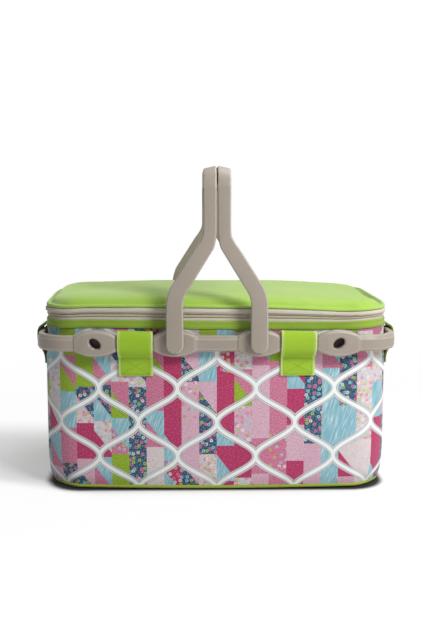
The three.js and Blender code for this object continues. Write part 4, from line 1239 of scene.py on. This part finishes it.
# %% [markdown]
# A swing handle is one moulding with two legs and a grip. Each leg leans in between two bends and
# gets narrower above the upper one. A curve with a bevel would thin out at the bends. So where a
# leg stands sideways and how wide it is are worked out from the height alone, and the two handles
# meet in the middle as they should.

# %% The handles' legs
LEG_IN, LEG_OUT = 150.0, 158.0
HANDLE_TOP, GRIP_TALL = heights_of("handle_right")[1], 24.0
GRIP_LOW = HANDLE_TOP - GRIP_TALL
LOW_WIDE, BEND_WIDE, HIGH_WIDE, GRIP_SPLIT = 21.8, 19.3, 16.2, 1.2
LOW_BEND, HIGH_BEND, BEND, TAPER = 60.0, 129.4, 24.0, 18.0
GRIP_X = (GRIP_SPLIT + HIGH_WIDE) / 2


def bend_share(rise):
    """Share of a bend that is done, from 0 to 1 over the bend's length."""
    return np.clip(rise / BEND + 0.5, 0, 1)


def eased(rise):
    """A straight climb whose start is rounded: (BEND / 2) share^2, then rise."""
    return np.where(rise >= BEND / 2, rise, BEND / 2 * bend_share(rise) ** 2)


def leg_at(rise, inset):
    """Middle and half width of a leg, less an inset: it leans in and tapers, and its foot is round.

    The foot is (r^2 - rise^2)^(1/2), and a leaning leg is wider across by (1 + lean^2)^(1/2)."""
    slope = (PIVOT_X - GRIP_X) / (HIGH_BEND - LOW_BEND)
    centre = PIVOT_X - slope * (eased(rise - LOW_BEND) - eased(rise - HIGH_BEND))
    lean = slope * (bend_share(rise - LOW_BEND) - bend_share(rise - HIGH_BEND))
    start = HIGH_BEND - BEND / 2
    wide = LOW_WIDE + (BEND_WIDE - LOW_WIDE) * np.clip(rise / start, 0, 1)
    wide = wide + (HIGH_WIDE - wide) * ramp(0, TAPER, rise - start)
    foot = (LOW_WIDE / 2 - inset) ** 2 - np.minimum(rise, 0) ** 2
    foot = np.sqrt(np.clip(foot, 0.02, None))
    return centre, np.where(rise < 0, foot, wide / 2 * np.hypot(1, lean) - inset)


print("legs", LOW_WIDE, "to", HIGH_WIDE, "mm wide, grip at", round(GRIP_X, 2))

# %% [markdown]
# The sweep goes from foot to foot: up the front leg, round the shoulder, along the grip and down
# the back leg. The section is a rectangle with a broad bevel on its outer edges and a small one on
# its inner edges. More stations stand where the leg bends, so the bends stay smooth.

# %% The handles' sweep
PIT_RADIUS, SHOULDER_RADIUS, ROOF_DROP = 14.0, 28.0, 3.5
BEVEL = np.array([[2.1, 0.0, 0], [1.7, 0.04, 0.7], [1.35, 0.2, 0.9], [0.35, 1.05, 0.5],
                  [0.1, 1.4, 1], [0.0, 1.9, 0]])
HEEL = np.array([[0.0, 1.5, 0], [0.12, 0.9, 0.5], [0.45, 0.42, 0.8], [0.95, 0.1, 0.5],
                 [1.4, 0.0, 0]])


def handle_stations():
    """Places of (depth, height) on the inner and outer face: leg, shoulder and half of the grip."""
    at_bend = np.linspace(-13, 13, 21)
    rise = np.concatenate([
        -LOW_WIDE / 2 * np.cos(np.linspace(0.02, 0.5, 18) * math.pi),
        np.linspace(4, LOW_BEND - 17, 5), LOW_BEND + at_bend,
        np.linspace(LOW_BEND + 17, HIGH_BEND - 17, 5), HIGH_BEND + at_bend,
        np.linspace(HIGH_BEND + 17, 176, 3)])
    t = np.linspace(0, math.pi / 2, 20)
    arc = np.stack([np.cos(t), np.sin(t)], 1)
    along_grip = np.linspace(125, 0, 10)
    faces = []
    for depth, height, radius in ((LEG_IN, GRIP_LOW, PIT_RADIUS),
                                  (LEG_OUT, HANDLE_TOP, SHOULDER_RADIUS)):
        leg = np.stack([np.full_like(rise, depth), BAR_Z + rise], 1)
        shoulder = np.array([depth - radius, height - radius]) + radius * arc
        grip = np.stack([along_grip, np.full_like(along_grip, height)], 1)
        faces.append(np.concatenate([leg, shoulder, grip]))
    return faces


def handle_points():
    """Ring [i, j]: a place between the faces, moved sideways to the leg's edge less an inset.

    Insets and depths come from the two bevels. The grip's top slopes down from the middle."""
    inner, outer = handle_stations()
    thick = np.linalg.norm(outer - inner, axis=1)[:, None]
    inset = np.concatenate([BEVEL[:, 0], HEEL[:, 0]])
    share = np.concatenate([1 - BEVEL[None, :, 1] / thick, HEEL[None, :, 1] / thick], 1)
    side = np.repeat([1, -1], len(inset))
    inset = np.concatenate([inset, inset[::-1]])
    share = np.concatenate([share, share[:, ::-1]], 1)
    place = inner[:, None] + (outer - inner)[:, None] * share[..., None]
    rise = place[..., 1] - BAR_Z
    rise = np.where(rise < 0, rise * (1 - 2 * inset / LOW_WIDE), rise)
    height = BAR_Z + rise
    centre, half = leg_at(rise, inset)
    x = centre + side * half
    roof = np.clip((height - GRIP_LOW) / GRIP_TALL, 0, 1)
    drop = ROOF_DROP * roof * (x - GRIP_SPLIT / 2) / HIGH_WIDE
    front = np.stack([x, -place[..., 0], height - drop], 2)
    return np.concatenate([front, (front * [1, -1, 1])[-2::-1]])


# %% [markdown]
# Each leg turns on a pin that goes through the frame's hole, and a snap cap behind the frame keeps
# it there. Pins and caps are turned on a lathe in the model too: a small profile carried round the
# pivot's line. The left handle is the right one turned half round.

# %% Pins, caps and the two handles
PIN = rounded([[0.4, 134.8], [4.7, 134.8], [4.7, 152], [0.4, 152]], 0.5, 3)
PIN = np.concatenate([PIN[4:], PIN[:4]])
CAP = rounded([[5.0, 135.0], [8.4, 135.0], [8.4, 136.9], [5.0, 136.9]], 0.5, 3)


def lathe(profile, x, z, count):
    """A profile of (radius, depth) turned about the line through (x, z) along y."""
    t = np.arange(count) * 2 * math.pi / count
    radius, depth = profile[:, :1], np.broadcast_to(profile[:, 1:], (len(profile), count))
    return np.stack([x + radius * np.cos(t), depth, z + radius * np.sin(t)], 2)


arm = handle_points()
arm_wear = np.concatenate([BEVEL[:, 2], HEEL[:, 2], HEEL[::-1, 2], BEVEL[::-1, 2]])
pins = [lathe(PIN * [1, sy], PIVOT_X, BAR_Z, 24) for sy in (-1, 1)]
for side, turn in (("right", AS_MADE), ("left", HALF_TURN)):
    swing = [shell(arm * turn, wear_and_edge_shade=arm_wear)] + [shell(pin * turn) for pin in pins]
    piece(f"swing_{side}", swing, taupe, f"{side}_handle", [f"handle_{side}"])
    for face, sy in (("front", -1), ("back", 1)):
        ring = lathe(CAP * [1, sy], turn[0] * PIVOT_X, BAR_Z, 32)
        piece(f"snap_cap_{side}_{face}", [shell(ring, (True, True))], taupe, f"{side}_handle",
              [f"pivot_cap_{side}_{face}"])

# %% [markdown]
# Inside, the bag is lined with metallised film. It is one tub that creases softly where it was
# pressed over the foam and follows the corners where they draw in. The same film lines the lid. A
# mirror would be too clean, so the creases are a sum of sharp-crested waves in the mesh, and finer
# crackle in the bump.


# %% Metallised film
def foil_finish():
    """Metallised film: bright, with broad dull clouds and a fine crackle of creases."""
    material, wire, shader = new_finish("metallised film", Metallic=0.85, Specular_IOR_Level=0.5)
    place = on_object(wire)
    clouds, creases = mottle(place, 14.0), mottle(place, 60.0, 4.0)
    crackle = cells(place, 130.0, feature="DISTANCE_TO_EDGE")
    lead(shader, "Base Color", clouds.mixed(hue("C9CDD1"), hue("AEB6BB")))
    lead(shader, "Roughness", 0.24 + 0.22 * clouds)
    raise_grain(shader, crackle.step(0.0, 0.12) * 0.4 + creases, 0.5, 0.0012)
    return material


def creased(a, b):
    """Crests of a few crossing waves, 1 - |sin|, summed to about one."""
    waves = ((31, 57, 0.3), (-44, 39, 1.2), (23, -71, 2.1))
    return sum(1 - np.abs(np.sin(a / p + b / q + k)) for p, q, k in waves) / len(waves)


foil = foil_finish()
print("film:", len(foil.node_tree.nodes), "nodes")

# %% [markdown]
# The tub is one closed skin: out over the floor, up the wall, over the lip at the rim, and down
# again behind. Each stretch is a few rings of the plan, and they are simply joined one after
# another.

# %% Linings of the bag and the lid
TUB_OUT, LIP_OUT, TUB_BACK = -7.7, -1.3, -6.8
liner_way = track(360)
liner_turn = liner_way.turn[:, None]
film_low, film_top = heights_of("foil_lining")
tub_out = np.append(np.full(40, TUB_OUT), [-7.0, -4.0, LIP_OUT])
tub_high = np.append(np.linspace(film_low + 6, film_top - 0.5, 40),
                     [film_top - 0.1, film_top, film_top])
crease = creased(liner_way.run[:, None], tub_high) * 1.1 * (1 - ramp(-7.5, -6, tub_out))
tub = along_plan(liner_way, tub_out - crease + corner_pull(liner_turn, tub_high), tub_high)
film_floor = discs(tub[:, 0, :2], np.linspace(0.02, 0.975, 26), film_low + 0.9)
film_floor[..., 2] += 0.8 * creased(film_floor[..., 0], film_floor[..., 1])
back_low, back_top = film_low + 0.05, film_top - 0.8
back_high = np.append(back_top, np.linspace(back_top, back_low, 24))
back_out = np.append(LIP_OUT, np.full(24, TUB_BACK)) + corner_pull(liner_turn, back_high)
back = along_plan(liner_way, back_out, back_high)
under = discs(back[:, -1, :2], np.array([0.02]), back_low)
film = np.concatenate([film_floor, tub, back, under], 1).transpose(1, 0, 2)
piece("film_tub", [shell(film)], foil, "bag", ["foil_lining"])

lid_film_low, lid_film_high = heights_of("lid_lining")
film_scale = np.linspace(0.02, 1, 30)
film_ring = liner_way.xy + liner_way.out * -1.4
film_face = discs(film_ring, film_scale, lid_film_low)
film_face[..., 2] += (0.5 * creased(film_face[..., 0], film_face[..., 1])
                      * ramp(1, 0.97, film_scale))
film_back = discs(film_ring, np.linspace(1, 0.02, 30), lid_film_high)
lid_film = np.concatenate([film_face, film_back], 1)
piece("lid_film", [shell(hung(lid_film).transpose(1, 0, 2))], foil, "lid", ["lid_lining"])

# %% [markdown]
# The hidden layers are built too, since they show in a cut or a parted model. First comes the foam
# in the wall. A copy of the wall made thicker would cut the film inside, so the foam uses the
# wall's own swell on its outer side, and only the pull of the corners on its inner side.


# %% Foam and board
def foam_finish():
    """Closed-cell foam: off-white, with small pits painted darker inside as shade."""
    material, wire, shader = new_finish("white foam", Specular_IOR_Level=0.3)
    pits = cells(on_object(wire), 700.0)
    # The darker colour in the pits is painted shade.
    lead(shader, "Base Color", pits.step(0.0, 0.7).mixed(hue("DAD6C8"), hue("F0EEE6")))
    lead(shader, "Roughness", 0.85 + 0.1 * pits)
    raise_grain(shader, pits, 0.4, 0.0004)
    return material


def board_finish():
    """Grey fibre board: matte, with short fibres."""
    material, wire, shader = new_finish("fibre board", Specular_IOR_Level=0.3)
    fibres = streaks(on_object(wire), (60.0, 420.0, 420.0), 4.0)
    lead(shader, "Base Color", fibres.step(0.3, 0.7).mixed(hue("7C7972"), hue("99958C")))
    lead(shader, "Roughness", 0.7 + 0.2 * fibres)
    return material


foam, board = foam_finish(), board_finish()
FOAM_OUT, FOAM_IN = -2.2, -6.4
foam_way = track(300)
foam_outer = np.linspace(WALL_LOW + 1.5, WALL_TOP, 80)
foam_inner = foam_outer[::-2]
foam_z = np.concatenate([foam_outer, foam_inner])
foam_out = np.concatenate([
    FOAM_OUT + wall_swell(foam_way, foam_outer),
    FOAM_IN + corner_pull(foam_way.turn[:, None], foam_inner)], 1)
wall_pad = piece("wall_padding", [shell(along_plan(foam_way, foam_out, foam_z), (True, True))],
                 foam, "bag", ["wall_foam"])

# %% [markdown]
# The floor is a stack of three flat pads: foam, a stiff board and the cloth panel that stands on
# the ground. They could be cut from blocks with the plan's outline, but rings follow the drawn-in
# corners without a cut: rings shrunk to the middle below, a short edge, and the same rings above,
# so a pad is one closed skin like the tub.


# %% Floor pad, board and base panel
def slab(node, out, finish):
    """A flat pad inside the plan: rings shrunk to the middle below and above a short edge."""
    low, high = heights_of(node)
    scale = np.linspace(0.02, 0.99, 12)
    drawn_out = out + corner_pull(foam_way.turn, 0.0)[:, None]
    ring = foam_way.xy + foam_way.out * drawn_out
    rings = np.concatenate([
        discs(ring, scale, low),
        discs(ring, np.ones(3), np.linspace(low, high, 5)[1:-1]),
        discs(ring, scale[::-1], high)], 1)
    return piece(f"{node}_pad", [shell(rings.transpose(1, 0, 2))], finish, "bag", [node])


floor_pad = slab("floor_foam", -10.5, foam)
slab("base_board", -6.0, board)
slab("base_panel", -11.0, base_green)

# %% [markdown]
# The lid's hinge is a strip of the same green cloth at the back. It is sewn to the wall below and
# to the lid above. Two stiff halves would part when the lid opens, so it is one piece, made where
# it lies with the lid shut and put on no body.

# %% The hinge strip
STRIP_THICK, STRIP_ROWS = 0.8, 14
strip_low, strip_high = corners("lid_hinge_strip")
strip_x = np.linspace(strip_low[0], strip_high[0], 90)[:, None]
strip_rise = np.linspace(strip_low[2], strip_high[2] + 0.2, STRIP_ROWS)
strip_z = np.concatenate([strip_rise, strip_rise[::-1]])
strip_in = np.repeat([0, -STRIP_THICK], STRIP_ROWS)
puff = 0.25 * np.sin(strip_x / 13) * np.sin((strip_z - strip_low[2]) / 3.8)
strip_y = side_depth(strip_x) + strip_in + puff
strip = np.stack(np.broadcast_arrays(strip_x, strip_y, strip_z), 2)
hinge = added("hinge_cloth", mesh_of("hinge_cloth", [shell(hung(strip))]))
hinge.data.materials.append(band_green)
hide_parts("lid_hinge_strip")
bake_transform(hinge)

# %% [markdown]
# The slider is a small die-cast part: a shield-shaped plate outside, a plate inside, a web between
# them and a bridge that holds the pull. The pull is a flat ring-ended tab. Their outlines are
# ellipses squared off more or less, which is the form such castings have.


# %% Shapes of the slider
def metal_finish():
    """Satin cast metal: fine scratches, and patches rubbed bright."""
    material, wire, shader = new_finish("slider metal", Metallic=0.9)
    place = on_object(wire)
    scratches, worn = streaks(place, (400.0, 90.0, 1800.0), 3.0), mottle(place, 220.0)
    body = scratches.mixed(hue("A8A498"), hue("BDB9AE"))
    lead(shader, "Base Color", worn.mixed(body, hue("D2CFC6")))
    lead(shader, "Roughness", 0.3 + 0.15 * scratches)
    return material


def oval(centre, half, power, taper=0.0):
    """An outline of (y, z): c + h |cos t|^p and c + h (1 - taper cos t) |sin t|^p, signs kept."""
    t = np.arange(48) * 2 * math.pi / 48
    y = centre[0] + half[0] * squared_off(np.cos(t), power[0])
    z = centre[1] + half[1] * (1 - taper * np.cos(t)) * squared_off(np.sin(t), power[1])
    return np.stack([y, z], 1)


def at_x(x, outlines):
    """Outlines of (y, z), each set up at its own x."""
    x = np.broadcast_to(np.asarray(x)[:, None, None], outlines.shape[:2] + (1,))
    return np.concatenate([x, outlines], 2)


def plate(outline, x_low, x_high, edge=0.3):
    """A flat plate across x: rings of an outline shrunk to the middle, with a rounded edge."""
    middle = outline.mean(0)
    scale = np.array([0.05, 0.6, 0.93, 1.0, 1.0, 0.93, 0.6, 0.05])
    x = [x_low, x_low, x_low, x_low + edge, x_high - edge, x_high, x_high + 0.12, x_high + 0.15]
    return shell(at_x(x, middle + (outline - middle) * scale[:, None, None]))


metal = metal_finish()
print("metal:", len(metal.node_tree.nodes), "nodes")

# %% [markdown]
# The slider stands where the hung zip is at its parking place, a little below the coils' middle, so
# it clasps both coils and stays clear of the piping. The bridge is a bent bar, made as a small
# section carried along an arch, and the tab is a flat ring.

# %% Slider and pull
slide_low, slide_high = corners("zip_slider")
pull_low, pull_high = corners("zip_pull")
slide_y = (slide_low[1] + slide_high[1]) / 2
slide_z = hung(np.array([HALF_LENGTH, slide_y, zip_middle]))[2] - 1.0
shield = oval((slide_y, slide_z - 0.1), (7.0, 2.85), (0.6, 0.7), 0.12)
inside_shield = oval((slide_y, slide_z), (7.0, 2.85 * 0.55), (0.6, 0.7), 0.12)
web = oval((slide_y, slide_z), (3.0, 0.2), (1, 1))
arch = spread(softened([[2.2, -4.4], [4.2, -4.6], [5.3, -3.4], [5.3, 3.4], [4.2, 4.6], [2.2, 4.4]],
                       3), 30)
bridge_ring = rounded([[-0.55, -1.0], [0.55, -1.0], [0.55, 1.0], [-0.55, 1.0]], 0.35, 3)
bridge = arch[:, None] + normals(arch)[:, None] * bridge_ring[None, :, :1]
bridge_z = np.broadcast_to(slide_z + bridge_ring[:, 1], bridge.shape[:2])
bridge = np.stack([HALF_LENGTH + bridge[..., 0], slide_y + bridge[..., 1], bridge_z], 2)
castings = [plate(shield, HALF_LENGTH + 1.0, HALF_LENGTH + 2.3), shell(bridge),
            plate(inside_shield, slide_low[0], slide_low[0] + 1.3),
            plate(web, slide_low[0] + 1, HALF_LENGTH + 1.2)]
piece("slider_body", castings, metal, "slider", ["zip_slider"])
pull_x = (pull_low[0] + pull_high[0]) / 2
tab_outer = oval((slide_y + 11.65, slide_z), (12.35, 2.9), (0.35, 0.6))
tab_inner = oval((slide_y + 4.2, slide_z), (3.5, 1.7), (0.4, 0.5))
share = np.array([0.0, 0.0, 0.08, 0.5, 0.92, 1.0, 1.0, 0.92, 0.5, 0.08])[:, None, None]
rim = np.array([-0.35, 0.35, 0.58, 0.6, 0.58, 0.35, -0.35, -0.58, -0.6, -0.58])
tab = at_x(pull_x + rim, tab_outer + (tab_inner - tab_outer) * share)
piece("slider_tab", [shell(tab, (True, True))], metal, "pull", ["zip_pull"])

# %% [markdown]
# The studio is plain. The floor is white, with a painted contact shadow, a dark colour right under
# the bag, and it whitens in front, behind and far away, so that nothing but a soft shadow beside
# the bag is left of it. A backdrop could be lit until it is white, but then its light would also
# fall on the bag. Here a share of the floor simply glows white to the camera.

# %% The floor
FLOOR_HALF, FLOOR_Z = 6.0, -0.0004


def length_across(x, y):
    """(x^2 + y^2)^(1/2)."""
    return (x * x + y * y).fn("SQRT")


def floor_finish():
    """White floor, painted dark right under the bag as a contact shadow, that keeps its shadow near
    the bag and fades into the white world elsewhere.

    beyond is the distance outside the bag's plan, a box with round corners of radius r:
    ((|x| - a)^2 + (|y| - b)^2)^(1/2) - r, where neither bracket goes below 0."""
    material, wire, shader = new_finish("pale floor", Roughness=0.9)
    x, y, _ = on_object(wire).parts()
    past_x = (abs(x) - (HALF_LENGTH - CORNER_RADIUS) * MM).fn("MAXIMUM", 0.0)
    past_y = (abs(y) - (HALF_DEPTH - CORNER_RADIUS) * MM).fn("MAXIMUM", 0.0)
    beyond = length_across(past_x, past_y) - CORNER_RADIUS * MM
    # Painted contact shadow: the base colour is near black within a few mm of the bag's plan.
    lead(shader, "Base Color", beyond.step(-0.004, 0.007).mixed(hue("1A1A18"), hue("F4F4F4")))
    away, open_floor = length_across(x, y).step(0.45, 1.1), beyond.step(0.0, 0.012)
    in_front = (y - 0.4 * (-0.15 - x).fn("MAXIMUM", 0.0)).step(-0.12, -0.165)
    faded = in_front.fn("MAXIMUM", y.step(0.11, 0.26))
    seen = wire.node("ShaderNodeLightPath", output="Is Camera Ray")
    seen = seen.fn("MAXIMUM", seen.other("Is Glossy Ray"))
    share = (open_floor * (0.36 + 0.6 * faded) * (1 - away) + away) * seen
    white = wire.node("ShaderNodeEmission", None, {"Color": (1, 1, 1, 1), "Strength": 1.0})
    mix = wire.node("ShaderNodeMixShader", None, {0: share, 1: wire, 2: white})
    lead(material.node_tree.nodes["Material Output"], 0, mix)
    return material


floor_line = np.linspace(-FLOOR_HALF, FLOOR_HALF, 9)
floor_x, floor_y = np.meshgrid(floor_line, floor_line, indexing="ij")
floor_grid = np.stack([floor_x, floor_y, np.full_like(floor_x, FLOOR_Z)], 2) / MM
ground = added("pale_floor", mesh_of("pale_floor", [shell(floor_grid, (False, False), False)]))
ground.data.materials.append(floor_finish())
print("floor", 2 * FLOOR_HALF, "m wide")

# %% [markdown]
# The light comes from three lamps: a small bright one in front on the right, which gives the
# plastic its edges, a weak one at the right, and a large soft one above. The world is white to the
# camera, to reflections and through clear things, and dimmer as a light, so that the lamps do the
# modelling.

# %% World and lamps
WORLD_LIGHT = 0.2
world = bpy.data.worlds.new("studio")
bpy.context.scene.world = world
world.use_nodes = True
background = world.node_tree.nodes["Background"]
background.inputs["Color"].default_value = (1, 1, 1, 1)
sky = Wire(world.node_tree, background.outputs[0])
seen = sky.node("ShaderNodeLightPath", output="Is Camera Ray")
shown = seen.fn("MAXIMUM", seen.other("Is Glossy Ray"))
shown = shown.fn("MAXIMUM", seen.other("Is Transmission Ray"))
lead(background, "Strength", WORLD_LIGHT + (1 - WORLD_LIGHT) * shown)


def soft_lamp(name, place, aim, power, wide, tall):
    """A rectangular lamp at a place, turned to look at a point."""
    lamp = added(name, bpy.data.lights.new(name, "AREA"))
    lamp.data.shape, lamp.data.energy = "RECTANGLE", power
    lamp.data.size, lamp.data.size_y = wide, tall
    lamp.location = place
    x, y, z = np.array(aim) - np.array(place)
    lamp.rotation_euler = (math.atan2(math.hypot(x, y), -z), 0, math.atan2(y, x) - math.pi / 2)


soft_lamp("key", (0.6, -0.85, 0.86), (0, 0, 0.2), 11.4, 0.36, 0.36)
soft_lamp("side", (1.3, -0.25, 0.55), (0.2, 0, 0.2), 2.0, 0.6, 0.6)
soft_lamp("top", (0.45, 0.25, 1.7), (0, 0, 0.2), 17, 1.2, 1.0)
bpy.context.scene.view_settings.view_transform = "Standard"
